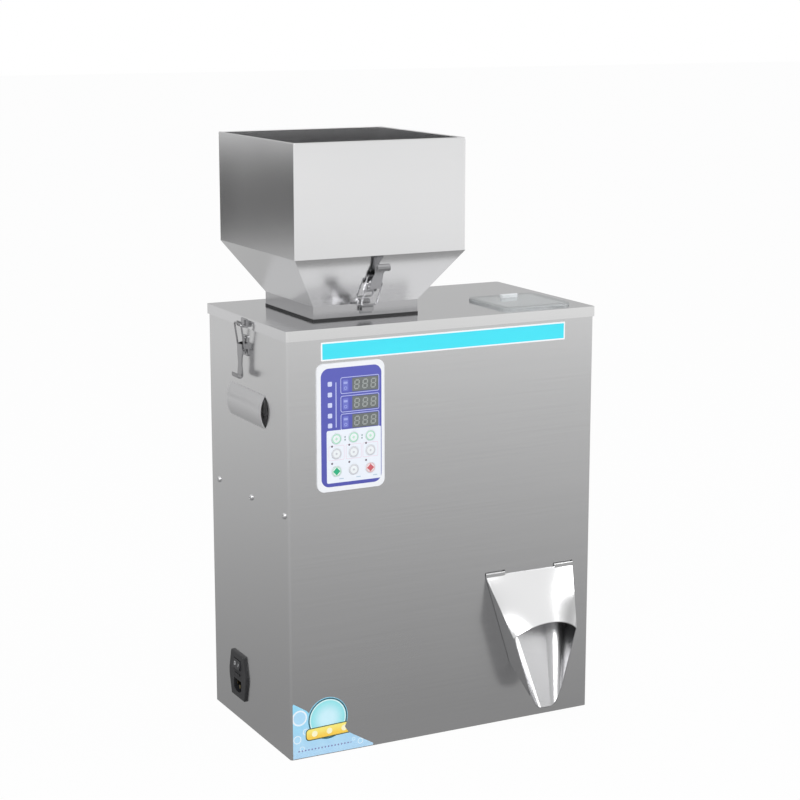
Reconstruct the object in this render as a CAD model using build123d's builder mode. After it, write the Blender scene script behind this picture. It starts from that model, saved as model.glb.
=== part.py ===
# Table-top powder filling machine: a vibrating feeder fills a weighing bucket, which empties
# through a hanging spout. Millimetres, +Z up, the front panel faces -Y, and the origin is the
# centre of the case's underside.
import os
from math import atan2, cos, radians, sin

from build123d import *

# Sheet metal and clearances
sheet = 1.2
gap = 0.3
pin_gap = 0.08
key_gap = 0.3

# Case, outer sizes without the lid
case_w = 402.0
case_d = 232.0
bend_r = 3.0
rear_return = 16.0
base_flange = 14.0
base_sheet = 1.5

# Lid: a shallow tray over the case
lid_top = 503.0
lid_skirt = 12.0

# Hopper, collar and the seal under the collar
hopper_x = -79.0
hopper_w = 215.0
hopper_d = 219.0
hopper_top = 709.0
box_bottom = 580.0
hem_h = 8.0
collar_w = 134.0
collar_d = 136.0
collar_h = 17.0
seal_h = 2.5
seal_w = 1.8
sleeve_drop = 8.0
outlet_side = 92.0
outlet_z = 450.0

# Clear inspection cover on the lid
window_dx = 20.0
window_y = -50.0
window_w = 95.0
window_d = 98.0
window_t = 3.0
window_r = 14.0
window_lap = 9.0
window_lip = 1.6
grip_l = 24.0
grip_w = 6.0
grip_h = 4.5
grip_y = -26.0

# Shelf across the case and the screws that hold it
shelf_z = 298.0
shelf_t = 1.5
shelf_flange = 20.0
shelf_front = -108.0
shelf_back = 104.0
shelf_screw_z = 290.0
shelf_screw_y = (-105.0, -10.0, 90.0)
screw_r = 2.0
screw_hole_r = 2.2
screw_head_r = 3.8
screw_head_h = 2.4
screw_len = 7.0

# Draw latches, measured along the mounting face (u), away from it (v) and across it (w)
latch_z = 470.0
hopper_latch_x = -79.7
hopper_latch_up = 30.554
pin_v = 5.2
pin_r = 1.2
bail_pin_u = -5.0
bail_wire_r = 1.1
bail_half_w = 9.8
bail_len = 31.6
lever_half_w = 7.0
lever_t = 1.3
lever_rise = 2.2
lever_len = 33.5
curl_r = 3.6
ear_t = 1.0
latch_base_len = 24.0
hook_reach = 5.4
hook_drop = 6.0
keeper_w = 15.0

# Carrying handles
handle_y = -4.0
handle_z = 400.0
handle_l = 100.0
handle_h = 38.0
handle_rise = 6.0
handle_edge = 0.52
hand_hole_arc = 6.0
cup_depth = 24.0
cup_t = 2.0

# Control overlay: a face plate with number windows and round keys
overlay_x = -122.8
overlay_z = 389.0
overlay_w = 85.0
overlay_h = 148.0
overlay_t = 1.6
overlay_r = 9.0
readout_w = 33.0
readout_h = 16.0
readout_dx = 18.1
readout_dz = (47.5, 26.2, 5.5)
key_r = 6.0
key_t = 1.1
key_lift = 0.3
key_dx = (-18.4, 3.2, 24.4)
key_dz = (-13.3, -30.5, -51.0)
board_t = 1.6
stud_r = 2.5
stud_inset_w = 9.0
stud_inset_h = 8.0

# Hanging spout and the chute behind it. Lengths out from the panel are called out.
spout_top = 185.0
spout_half_top = 60.5
hood_z = 118.0
hood_out = 40.0
hood_arch_z = 135.0
hood_arch_out = 50.5
nose_z = 25.0
nose_out = 43.0
nose_arc_half = 20.7
nose_arc_z = 36.5
floor_slope = 0.433
side_base = 3.5
side_slope = 0.308
side_flare = 0.11
cheek_z = 73.0
cheek_out = 40.0
cheek_low = 43.0
floor_r_top = 30.0
floor_r_low = 9.0
hook_w = 26.0
hook_tail = 8.0
slot_h = 4.0
hook_z = 189.5
mouth_half_w = 38.0
mouth_low = 127.0
mouth_high = 172.0
chute_half_w = 41.0
chute_front = -105.0
chute_back = 52.0

# Feeder on the shelf
foot_r = 8.0
foot_h = 12.0
feeder_dx = 31.0
feeder_l = 150.0
feeder_d = 90.0
feeder_t = 22.0
leaf_w = 60.0
leaf_t = 1.6
leaf_lean = 15.0
leaf_len = 92.0
leaf_span = 110.0
trough_low = 430.0
trough_w = 110.0
trough_h = 42.0
trough_back_dx = 61.0
trough_front_dx = 20.0
lug_t = 4.0
magnet_l = 44.0
magnet_d = 40.0
magnet_h = 48.0
air_gap = 2.5
armature_t = 4.0
armature_lap = 24.0
foot_inset = 24.0
clamp_l = 16.0
clamp_h = 14.0
core_yoke = 12.0
core_slot_h = 10.0
core_slot_dz = 11.0
coil_h = 31.0
coil_wall = 8.0
lug_w = 24.0
lug_drop = 26.0

# Weighing bucket, flap, cell and the flap's motor
bucket_w = 72.0
bucket_d = 80.0
bucket_low = 338.0
bucket_high = 405.0
flap_t = 1.2
flap_pin_r = 1.5
flap_eye_r = 3.2
cell_side = 13.0
cell_len = 92.0
cell_y = 62.0
cell_z = 366.0
motor_r = 13.0
motor_len = 30.0
motor_gap = 5.8
crank_r = 14.0
crank_hub_r = 5.0
crank_arm_w = 6.0
crank_t = 4.0
crank_pin_r = 1.5
crank_pin_l = 5.0
shaft_r = 2.5
shaft_out = 7.0
shaft_dx = 12.0
motor_foot = 3.0
motor_foot_t = 2.0
ear_drop = 14.0
ear_reach = 3.0
bracket_w = 20.0
bracket_h = 18.0
cell_hole_r = 4.4
cell_hole_step = 7.0
cell_overlap = 8.0
post_w = 16.0
post_foot_w = 32.0
post_foot_t = 4.0
tab_w = 8.0
tab_d = 10.0
bay_w = 92.0
bay_d = 118.0

# Boards and transformer at the bottom of the case. Each chip is x, z, width, height and depth.
board_x = -75.0
board_z = 205.0
board_w = 150.0
board_h = 100.0
board_inset = 6.0
standoff = 8.0
standoff_r = 2.5
chips = ((-120, 225, 34, 22, 14), (-70, 215, 20, 20, 3), (-35, 230, 28, 10, 12),
         (-60, 180, 44, 12, 10), (-122, 182, 18, 18, 22))
transformer_x = -110.0
transformer_y = -30.0
core_w = 66.0
core_d = 34.0
core_h = 56.0
bobbin_w = 42.0
bobbin_d = 58.0
bobbin_h = 36.0

# Power inlet on the left side, foot-pedal socket and grommet on the right
inlet_y = 36.0
inlet_z = 56.5
inlet_h = 57.0
inlet_ears = 52.0
inlet_top_w = 39.0
inlet_flange = 3.0
inlet_body_w = 27.0
inlet_body_h = 47.0
inlet_body_l = 30.0
port_w = 22.4
port_h = 15.6
port_deep = 16.0
port_cut = 4.5
port_dz = 13.2
drawer_w = 21.0
drawer_h = 7.6
drawer_dz = -1.6
rocker_w = 19.0
rocker_h = 12.0
rocker_dz = -14.2
rocker_deep = 9.0
ear_flat = 4.0
drawer_deep = 20.0
drawer_rib = 1.2
contact_w = 2.0
contact_h = 4.5
contact_spots = ((0, 2.2), (-7, -1.8), (7, -1.8))
pedal_y = -29.0
pedal_z = 41.0
pedal_r = 5.5
pedal_reach = 9.5
pedal_bore = 3.2
grommet_y = 36.0
grommet_z = 40.5
grommet_r = 6.0
grommet_bore = 4.0
small_screw_y = 4.5
small_screw_z = (35.6, 58.0)
sensor_dx = 9.0
sensor_z = 36.0
sensor_r = 5.0
sensor_reach = 6.0

# Worked out from the sizes above
front = -case_d / 2
back = case_d / 2
side = case_w / 2
bucket_x = side - sheet - motor_gap - motor_len - shaft_dx - bucket_w / 2
spout_x = bucket_x
window_x = bucket_x + window_dx
feeder_x = hopper_x + feeder_dx
trough_back = hopper_x - trough_back_dx
trough_front = bucket_x - trough_front_dx
case_top = lid_top - sheet - gap
collar_low = lid_top + seal_h
collar_top = collar_low + collar_h - seal_h
shelf_under = shelf_z - shelf_t
inner_front = front + sheet



def keep(name, builder):
    # Label a finished piece and write its file.
    builder.part.label = name
    export_step(builder.part, f"parts/{name}.step")


def side_view(plane):
    # The plane that looks across a latch: x runs along the face and y away from it.
    return Plane(origin=plane.origin, x_dir=plane.x_dir, z_dir=-plane.y_dir)


def wall_plane(hand, y, z):
    # A plane on the outside of a side wall: x is +Y, and its normal points out of the case.
    return Plane(origin=(hand * side, y, z), x_dir=(0, 1, 0), z_dir=(hand, 0, 0))


def front_plane(x, z, out=0.0):
    # A plane on the front panel: x is +X, y is +Z, and its normal points to the user.
    return Plane(origin=(x, front - out, z), x_dir=(1, 0, 0), z_dir=(0, -1, 0))


def wall_ring(width, depth, wall, y=0.0):
    # The outline of a rounded upright wall.
    with BuildSketch() as ring:
        with Locations((0, y)):
            RectangleRounded(width, depth, bend_r)
            RectangleRounded(width - 2 * wall, depth - 2 * wall, bend_r - wall, mode=Mode.SUBTRACT)
    return ring.sketch


def screw_at(plane):
    # A domed machine screw whose head sits on the plane, with its shank behind it.
    with BuildPart() as screw:
        with BuildSketch(plane):
            Circle(screw_head_r)
        extrude(amount=screw_head_h, taper=22)
        with BuildSketch(plane):
            Circle(screw_r)
        extrude(amount=-screw_len)
    return screw.part


def punch(plane, outline, depth=6.0):
    # Cut an outline through a sheet that lies just behind the plane.
    with BuildSketch(plane.offset(1)) as hole:
        add(outline)
    extrude(hole.sketch, amount=-depth - 1, mode=Mode.SUBTRACT)


def rectangle(width, height, radius=0.0):
    with BuildSketch() as shape:
        if radius > 0:
            RectangleRounded(width, height, radius)
        else:
            Rectangle(width, height)
    return shape.sketch


def disc(radius):
    with BuildSketch() as shape:
        Circle(radius)
    return shape.sketch


def outward_plane(x=0.0):
    # A vertical plane across the machine: its x runs out from the front panel and its y is +Z.
    return Plane(origin=(x, front, 0), x_dir=(0, -1, 0), z_dir=(-1, 0, 0))


def shelf_screw_planes():
    return [wall_plane(hand, y, shelf_screw_z) for hand in (-1, 1) for y in shelf_screw_y]


def small_screw_planes():
    return [wall_plane(1, small_screw_y, z) for z in small_screw_z]


def back_screw_planes():
    spots = [(hand * (side - rear_return / 2), z) for hand in (-1, 1) for z in (24.0, 245.0, 466.0)]
    return [Plane(origin=(x, back, z), x_dir=(-1, 0, 0), z_dir=(0, 1, 0)) for x, z in spots]


def readout_plane(dz, out=0.0):
    return front_plane(overlay_x + readout_dx, overlay_z + dz, out)


def make_case_shell():
    # Front and sides bent from one sheet, with narrow returns at the back for the rear cover.
    middle = -sheet / 2
    with BuildPart() as case_shell:
        extrude(wall_ring(case_w, case_d - sheet, sheet, middle), amount=case_top)
        with BuildSketch():
            with Locations((0, back)):
                Rectangle(case_w - 2 * rear_return, 20)
        extrude(amount=case_top, mode=Mode.SUBTRACT)
        cut_front_panel()
        cut_side_walls()
    keep("case_shell", case_shell)


def cut_front_panel():
    # The spout's mouth and hook slots, the windows behind the overlay and the sensor's hole.
    mouth_mid = (mouth_low + mouth_high) / 2
    punch(front_plane(spout_x, mouth_mid), rectangle(2 * mouth_half_w, mouth_high - mouth_low, 4))
    for hand in (-1, 1):
        slot_x = spout_x + hand * (spout_half_top - hook_w / 2)
        punch(front_plane(slot_x, hook_z), rectangle(hook_w + 4 * gap, slot_h))
    for dz in readout_dz:
        punch(readout_plane(dz), rectangle(readout_w, readout_h))
    punch(front_plane(spout_x + sensor_dx, sensor_z), disc(sensor_r - 1 + gap))


def cut_side_walls():
    for hand in (-1, 1):
        punch(wall_plane(hand, handle_y, handle_z), hand_hole())
    for plane in shelf_screw_planes() + small_screw_planes() + back_screw_planes():
        punch(plane, disc(screw_hole_r))
    punch(wall_plane(-1, inlet_y, inlet_z), rectangle(inlet_body_w + 2 * gap, inlet_body_h + 2 * gap))
    punch(wall_plane(1, pedal_y, pedal_z), disc(pedal_r - 1 + gap))
    punch(wall_plane(1, grommet_y, grommet_z), disc(grommet_r - 1 + gap))


def hand_hole():
    # The hole under a handle plate, with a bowed end that shows past the plate's front edge.
    near = -handle_l / 2
    far = handle_l / 2 - 6
    half_h = handle_h / 2 - 3
    with BuildSketch() as hole:
        with BuildLine():
            Polyline((near, half_h), (far, half_h), (far, -half_h), (near, -half_h))
            ThreePointArc((near, -half_h), (near - hand_hole_arc, 0), (near, half_h))
        make_face()
    return hole.sketch


def make_back_panel():
    with BuildPart() as back_panel:
        with BuildSketch(Plane.XZ.offset(-back + sheet)):
            with Locations((0, case_top / 2)):
                Rectangle(case_w - 2 * bend_r, case_top - 2)
        extrude(amount=-sheet)
        for plane in back_screw_planes():
            punch(plane, disc(screw_hole_r))
    keep("back_panel", back_panel)
    with BuildPart() as case_screws:
        for plane in shelf_screw_planes() + small_screw_planes() + back_screw_planes():
            add(screw_at(plane))
    keep("case_screws", case_screws)


def make_base_plate():
    width = case_w - 2 * sheet - 2 * gap
    depth = case_d - 3 * sheet - 2 * gap
    middle = -sheet / 2
    with BuildPart() as base_plate:
        with BuildSketch():
            with Locations((0, middle)):
                RectangleRounded(width, depth, bend_r)
        extrude(amount=base_sheet)
        extrude(wall_ring(width, depth, base_sheet, middle), amount=base_flange)
    keep("base_plate", base_plate)


def make_shelf():
    width = case_w - 2 * sheet - 2 * gap
    depth = shelf_back - shelf_front
    mid_y = (shelf_back + shelf_front) / 2
    with BuildPart() as shelf:
        with BuildSketch(Plane.XY.offset(shelf_under)):
            with Locations((0, mid_y)):
                Rectangle(width, depth)
            with Locations((bucket_x, 0)):
                Rectangle(bay_w, bay_d, mode=Mode.SUBTRACT)
        extrude(amount=shelf_t)
        for hand in (-1, 1):
            with BuildSketch(Plane.XY.offset(shelf_under)):
                with Locations((hand * (width - shelf_t) / 2, mid_y)):
                    Rectangle(shelf_t, depth)
            extrude(amount=-shelf_flange)
        for plane in shelf_screw_planes():
            punch(plane, disc(screw_hole_r))
    keep("shelf", shelf)


def make_lid():
    # The lid carries the collar on its seal, the two side keepers and the clear cover.
    width = case_w + 2 * (gap + sheet)
    depth = case_d + 2 * (gap + sheet)
    with BuildPart() as lid:
        with BuildSketch(Plane.XY.offset(lid_top - sheet)):
            RectangleRounded(width, depth, bend_r)
            with Locations((hopper_x, 0)):
                Rectangle(collar_w - 2 * sheet, collar_d - 2 * sheet, mode=Mode.SUBTRACT)
            with Locations((window_x, window_y)):
                Rectangle(window_w - 2 * window_lap, window_d - 2 * window_lap, mode=Mode.SUBTRACT)
        extrude(amount=sheet)
        skirt = wall_ring(width, depth, sheet).moved(Location((0, 0, lid_top - lid_skirt)))
        extrude(skirt, amount=lid_skirt)
    keep("lid", lid)
    with BuildPart() as collar_seal:
        with BuildSketch(Plane.XY.offset(lid_top)):
            with Locations((hopper_x, 0)):
                Rectangle(collar_w + 2 * gap, collar_d + 2 * gap)
                Rectangle(collar_w + 2 * gap - 2 * seal_w, collar_d + 2 * gap - 2 * seal_w,
                          mode=Mode.SUBTRACT)
        extrude(amount=seal_h)
    keep("collar_seal", collar_seal)
    make_collar()


def make_collar():
    # A square neck with an inner sleeve that drops through the lid.
    sleeve_w = collar_w - 2 * (sheet + gap)
    sleeve_d = collar_d - 2 * (sheet + gap)
    with BuildPart() as hopper_collar:
        with BuildSketch(Plane.XY.offset(collar_low)):
            with Locations((hopper_x, 0)):
                Rectangle(collar_w, collar_d)
        extrude(amount=collar_top - collar_low)
        with BuildSketch(Plane.XY.offset(collar_low)):
            with Locations((hopper_x, 0)):
                Rectangle(sleeve_w, sleeve_d)
        extrude(amount=-(seal_h + sleeve_drop))
        with BuildSketch(Plane.XY.offset(collar_low + sheet)):
            with Locations((hopper_x, 0)):
                Rectangle(collar_w - 2 * sheet, collar_d - 2 * sheet)
        extrude(amount=collar_h, mode=Mode.SUBTRACT)
        with BuildSketch(Plane.XY.offset(collar_low + 2 * sheet)):
            with Locations((hopper_x, 0)):
                Rectangle(sleeve_w - 2 * sheet, sleeve_d - 2 * sheet)
        extrude(amount=-(seal_h + sleeve_drop + 4 * sheet), mode=Mode.SUBTRACT)
    keep("hopper_collar", hopper_collar)


def frustum(low, low_size, high, high_size):
    # A four-sided taper on the hopper's axis between two heights.
    with BuildPart() as taper:
        for z, size in ((low, low_size), (high, high_size)):
            with BuildSketch(Plane.XY.offset(z)):
                with Locations((hopper_x, 0)):
                    Rectangle(*size)
        loft()
    return taper.part


def block(low, high, size):
    with BuildPart() as box:
        with BuildSketch(Plane.XY.offset(low)):
            with Locations((hopper_x, 0)):
                Rectangle(*size)
        extrude(amount=high - low)
    return box.part


def make_hopper():
    # A folded box on a pyramid funnel, with a tapered outlet that reaches into the trough.
    inner_box = (hopper_w - 2 * sheet, hopper_d - 2 * sheet)
    seat = (collar_w, collar_d)
    throat = (collar_w - 2 * sheet - 4 * gap, collar_d - 2 * sheet - 4 * gap)
    throat_bore = (throat[0] - 2 * sheet, throat[1] - 2 * sheet)
    outlet = (outlet_side, outlet_side)
    outlet_bore = (outlet_side - 2 * sheet, outlet_side - 2 * sheet)
    rim_bore = (hopper_w - 4 * sheet, hopper_d - 4 * sheet)
    with BuildPart() as hopper:
        add(block(box_bottom, hopper_top, (hopper_w, hopper_d)))
        fillet(hopper.edges().filter_by(Axis.Z), radius=2.0)
        add(frustum(collar_top, seat, box_bottom, (hopper_w, hopper_d)))
        add(frustum(outlet_z, outlet, collar_top, throat))
        add(block(box_bottom, hopper_top - hem_h, inner_box), mode=Mode.SUBTRACT)
        add(block(hopper_top - hem_h, hopper_top, rim_bore), mode=Mode.SUBTRACT)
        add(frustum(collar_top, throat_bore, box_bottom, inner_box), mode=Mode.SUBTRACT)
        add(frustum(outlet_z, outlet_bore, collar_top, throat_bore), mode=Mode.SUBTRACT)
        fillet(hopper.edges().group_by(Axis.Z)[-1], radius=0.9)
    keep("hopper", hopper)


def make_window():
    # A clear cover that drops into a hole in the lid, with a bar to lift it by.
    with BuildPart() as window_cover:
        with BuildSketch(Plane.XY.offset(lid_top)):
            with Locations((window_x, window_y)):
                RectangleRounded(window_w, window_d, window_r)
        extrude(amount=window_t)
        chamfer(window_cover.faces().sort_by(Axis.Z)[-1].edges(), length=0.6)
        lip_w = window_w - 2 * window_lap - 4 * gap
        lip_d = window_d - 2 * window_lap - 4 * gap
        with BuildSketch(Plane.XY.offset(lid_top)):
            with Locations((window_x, window_y)):
                Rectangle(lip_w, lip_d)
        extrude(amount=-window_lip)
    keep("window_cover", window_cover)
    with BuildPart() as window_grip:
        with BuildSketch(Plane.XY.offset(lid_top + window_t)):
            with Locations((window_x, grip_y)):
                SlotOverall(grip_l, grip_w)
        extrude(amount=grip_h)
        fillet(window_grip.faces().sort_by(Axis.Z)[-1].edges(), radius=1.4)
    keep("window_grip", window_grip)


def twin_plates(view, half_w, thickness, points):
    # Two equal plates across a latch. view is the latch's side view.
    with BuildPart() as plates:
        for start in (half_w, thickness - half_w):
            with BuildSketch(view.offset(start)):
                with BuildLine():
                    Polyline(*points, close=True)
                make_face()
            extrude(amount=-thickness)
    return plates.part


def cross_rod(view, spot, radius, half_w):
    # A rod across a latch at a point of its side view.
    with BuildPart() as rod:
        with BuildSketch(view):
            with Locations(spot):
                Circle(radius)
        extrude(amount=half_w, both=True)
    return rod.part


def latch_base(plane):
    # A riveted plate with two ears and the lever's pin.
    view = side_view(plane)
    half_w = lever_half_w + 0.4 + ear_t
    with BuildPart() as base:
        with BuildSketch(plane):
            RectangleRounded(latch_base_len, 2 * half_w, 2.0)
        extrude(amount=sheet)
        for u in (-latch_base_len / 2 + 3.5, latch_base_len / 2 - 3.5):
            with BuildSketch(Plane(origin=plane.from_local_coords((u, 0, sheet)),
                                   x_dir=plane.x_dir, z_dir=plane.z_dir)):
                Circle(2.0)
            extrude(amount=0.7, taper=30)
        ear = [(-3.6, 0), (3.6, 0), (2.6, pin_v), (1.4, pin_v + 2.2), (-1.4, pin_v + 2.2), (-2.6, pin_v)]
        add(twin_plates(view, half_w, ear_t, ear))
        add(cross_rod(view, (0, pin_v), pin_r, half_w))
    return base


def latch_lever(plane):
    # A bent strip with a waist and a curled finger end, and two cheeks on the pins.
    view = side_view(plane)
    top = pin_v + lever_rise
    with BuildPart() as lever:
        with BuildSketch(view):
            with BuildLine():
                Line((1.6, top), (-lever_len, top))
                CenterArc((-lever_len, top + curl_r), curl_r, 270, -215)
            trace(line_width=lever_t)
        extrude(amount=lever_half_w + 1.0, both=True)
        with BuildSketch(plane):
            with BuildLine():
                right = [(3.0, -lever_half_w), (-9.0, -lever_half_w), (-21.0, -5.2), (-lever_len, -7.6),
                         (-lever_len - 6, -7.6)]
                left = [(u, -w) for u, w in reversed(right)]
                Polyline(*right, *left, close=True)
            make_face()
        extrude(amount=30, mode=Mode.INTERSECT)
        reach = pin_r + 1.3
        cheek = [(1.9, top), (2.0, pin_v - 1), (0.8, pin_v - reach), (bail_pin_u - 1, pin_v - reach),
                 (bail_pin_u - 3.4, pin_v), (-13.0, top)]
        add(twin_plates(view, lever_half_w, ear_t, cheek))
        add(cross_rod(view, (0, pin_v), pin_r + pin_gap, lever_half_w + 1), mode=Mode.SUBTRACT)
        add(cross_rod(view, (bail_pin_u, pin_v), bail_wire_r + pin_gap, lever_half_w + 1),
            mode=Mode.SUBTRACT)
    return lever


def bail_plane(plane, bar_v):
    # The plane of a bail: its origin is the bail's pin and x runs to the crossbar.
    lean = atan2(bar_v - pin_v, bail_len)
    along = plane.x_dir * cos(lean) + plane.z_dir * sin(lean)
    away = plane.z_dir * cos(lean) - plane.x_dir * sin(lean)
    return Plane(origin=plane.from_local_coords((bail_pin_u, 0, pin_v)), x_dir=along, z_dir=away)


def latch_bail(plane, bar_v):
    # A wire loop whose turned-in ends sit in the lever's cheeks.
    work = bail_plane(plane, bar_v)
    with BuildPart() as bail:
        with BuildLine(work) as wire:
            FilletPolyline((0, lever_half_w - 2), (0, bail_half_w), (bail_len, bail_half_w),
                           (bail_len, -bail_half_w), (0, -bail_half_w), (0, 2 - lever_half_w),
                           radius=2.4)
        with BuildSketch(Plane(origin=wire.line @ 0, z_dir=wire.line % 0)):
            Circle(bail_wire_r)
        sweep()
    return bail


def side_latch_plane(hand):
    return Plane(origin=(hand * side, 0, latch_z), x_dir=(0, 0, 1), z_dir=(hand, 0, 0))


def slope_vector():
    # From the front bottom edge of the hopper's box down the funnel's front face.
    run = (hopper_d - collar_d) / 2
    return Vector(0, run, collar_top - box_bottom).normalized()


def hopper_latch_plane():
    along = slope_vector()
    corner = Vector(hopper_latch_x, -collar_d / 2, collar_top)
    normal = along.cross(Vector(1, 0, 0))
    if normal.Y > 0:
        normal = normal * -1
    return Plane(origin=corner - along * hopper_latch_up, x_dir=along, z_dir=normal)


def side_bar_v():
    # The crossbar hangs just outside the keeper's lip.
    return gap + sheet + hook_reach + sheet + 2 * gap + bail_wire_r


def hopper_bar_v():
    plane = hopper_latch_plane()
    bar_y = -collar_d / 2 - hook_reach - sheet - 2 * gap - bail_wire_r
    low, high = 0.0, 30.0
    for _ in range(40):
        mid = (low + high) / 2
        bar = bail_plane(plane, mid).from_local_coords((bail_len, 0, 0))
        low, high = (low, mid) if bar.Y < bar_y else (mid, high)
    return mid


def make_latches():
    planes = {"left": side_latch_plane(-1), "right": side_latch_plane(1), "hopper": hopper_latch_plane()}
    with BuildPart() as side_latch_bases:
        add(latch_base(planes["left"]).part)
        add(latch_base(planes["right"]).part)
    keep("side_latch_bases", side_latch_bases)
    keep("hopper_latch_base", latch_base(planes["hopper"]))
    for name, plane in planes.items():
        bar_v = hopper_bar_v() if name == "hopper" else side_bar_v()
        keep(f"{name}_latch_lever", latch_lever(plane))
        keep(f"{name}_latch_bail", latch_bail(plane, bar_v))
    make_keepers()


def keeper(plane, sign):
    # A plate with a folded lip. sign is the way that the lip's mouth faces along x.
    half = hook_drop / 2 + 1.5
    mid = sheet / 2
    with BuildPart() as hook:
        with BuildSketch(side_view(plane)):
            with BuildLine():
                FilletPolyline((sign * half, mid), (-sign * half, mid), (-sign * half, hook_reach + mid),
                               (sign * (hook_drop - half), hook_reach + mid), radius=1.8)
            trace(line_width=sheet)
        extrude(amount=keeper_w / 2, both=True)
    return hook.part


def make_keepers():
    # Two keepers on the lid's skirt open upward, and the one on the collar opens downward.
    lid_side = side + gap + sheet
    skirt_mid = lid_top - lid_skirt / 2
    collar_mid = (collar_low + collar_top) / 2
    with BuildPart() as latch_keepers:
        for hand in (-1, 1):
            add(keeper(Plane(origin=(hand * lid_side, 0, skirt_mid), x_dir=(0, 0, 1),
                             z_dir=(hand, 0, 0)), 1))
        add(keeper(Plane(origin=(hopper_latch_x, -collar_d / 2, collar_mid), x_dir=(0, 0, 1),
                         z_dir=(0, -1, 0)), -1))
    keep("latch_keepers", latch_keepers)


def make_handles():
    # Arched plates over black cups, one on each side wall.
    half = handle_h / 2
    with BuildPart() as handle_plates:
        for hand in (-1, 1):
            end = Plane(origin=(hand * side, handle_y, handle_z), x_dir=(hand, 0, 0), z_dir=(0, -1, 0))
            with BuildSketch(end):
                with BuildLine():
                    ThreePointArc((handle_edge, -half), (handle_rise, 0), (handle_edge, half))
                trace(line_width=sheet)
            extrude(amount=handle_l / 2, both=True)
    keep("handle_plates", handle_plates)
    with BuildPart() as handle_cups:
        for hand in (-1, 1):
            wall = wall_plane(hand, handle_y, handle_z).offset(-sheet)
            with BuildSketch(wall):
                with Locations((-hand_hole_arc / 2, 0)):
                    RectangleRounded(handle_l + 2 * hand_hole_arc, handle_h + 6, 5)
            extrude(amount=-cup_t)
            cup_w = handle_l + hand_hole_arc - 2
            with BuildSketch(wall):
                with Locations((-hand_hole_arc / 2, 0)):
                    RectangleRounded(cup_w, handle_h - 1, 4)
            extrude(amount=-cup_depth)
            with BuildSketch(wall):
                with Locations((-hand_hole_arc / 2, 0)):
                    RectangleRounded(cup_w - 2 * cup_t, handle_h - 1 - 2 * cup_t, 3)
            extrude(amount=-(cup_depth - cup_t), mode=Mode.SUBTRACT)
    keep("handle_cups", handle_cups)


def key_spots():
    return [(column, row) for row in key_dz for column in key_dx]


def make_controls():
    # Face plate, smoked number windows and nine round keys.
    with BuildPart() as control_overlay:
        with BuildSketch(front_plane(overlay_x, overlay_z)):
            RectangleRounded(overlay_w, overlay_h, overlay_r)
            for dz in readout_dz:
                with Locations((readout_dx, dz)):
                    Rectangle(readout_w, readout_h, mode=Mode.SUBTRACT)
            with Locations(*key_spots()):
                Circle(key_r + key_gap, mode=Mode.SUBTRACT)
        extrude(amount=overlay_t)
    keep("control_overlay", control_overlay)
    with BuildPart() as number_windows:
        for dz in readout_dz:
            with BuildSketch(readout_plane(dz)):
                Rectangle(readout_w - gap, readout_h - gap)
            extrude(amount=overlay_t - gap)
    keep("number_windows", number_windows)
    for index, (dx, dz) in enumerate(key_spots()):
        with BuildPart() as key:
            with BuildSketch(front_plane(overlay_x + dx, overlay_z + dz, overlay_t + key_lift)):
                Circle(key_r)
            extrude(amount=-key_t)
            chamfer(key.faces().sort_by(Axis.Y)[0].edges(), length=0.25)
        keep(f"key_{index + 1}", key)
    make_display_board()


def make_display_board():
    # A board on four posts, with three number modules that look through the panel.
    deep = 9.0
    with BuildPart() as display_board:
        with BuildSketch(front_plane(overlay_x, overlay_z, -sheet - deep)):
            Rectangle(overlay_w - 8, overlay_h - 8)
        extrude(amount=-board_t)
        for dz in readout_dz:
            with BuildSketch(readout_plane(dz, -sheet - deep)):
                Rectangle(readout_w - 2, readout_h - 2)
            extrude(amount=deep + sheet - gap)
        with BuildSketch(front_plane(overlay_x, overlay_z, -sheet - deep)):
            with GridLocations(overlay_w - 2 * stud_inset_w, overlay_h - 2 * stud_inset_h, 2, 2):
                Circle(stud_r)
        extrude(amount=deep)
    keep("display_board", display_board)


def side_half(out, z):
    # Half the spout's width at a height and a distance out from the panel.
    return side_base + side_slope * z + side_flare * out


def spout_wedge(deep_low, deep_high, radius_low, radius_high, wall):
    # A solid between the spout's two sides, from a rounded floor outward. wall shrinks it.
    far_out = 2 * nose_out + wall
    levels = ((nose_z - 15, deep_low, radius_low), (spout_top + 6, deep_high, radius_high))
    with BuildPart() as wedge:
        for z, deep, radius in levels:
            near = side_half(deep + wall, z) - wall
            far = side_half(far_out, z) - wall
            with BuildSketch(Plane((spout_x, front, z))):
                with BuildLine():
                    FilletPolyline((-far, -far_out), (-near, -deep - wall), (near, -deep - wall),
                                   (far, -far_out), radius=radius - wall)
                    Line((far, -far_out), (-far, -far_out))
                make_face()
        loft()
    return wedge.part


def side_profile(points):
    # A block across the spout with the given outline, seen from the side.
    with BuildPart() as prism:
        with BuildSketch(outward_plane(spout_x)):
            with BuildLine():
                Polyline(*points, close=True)
            make_face()
        extrude(amount=2 * spout_half_top, both=True)
    return prism.part


def nose_profile():
    # A block through the spout with its round nose below, seen from the front.
    tall = spout_top + 15
    wide = 2 * spout_half_top
    with BuildPart() as prism:
        with BuildSketch(Plane(origin=(spout_x, front, 0), x_dir=(1, 0, 0), z_dir=(0, -1, 0))):
            with BuildLine():
                Polyline((nose_arc_half, nose_arc_z), (wide, nose_arc_z), (wide, tall), (-wide, tall),
                         (-wide, nose_arc_z), (-nose_arc_half, nose_arc_z))
                ThreePointArc((-nose_arc_half, nose_arc_z), (0, nose_z), (nose_arc_half, nose_arc_z))
            make_face()
        extrude(amount=2 * nose_out, both=True)
    return prism.part


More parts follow.
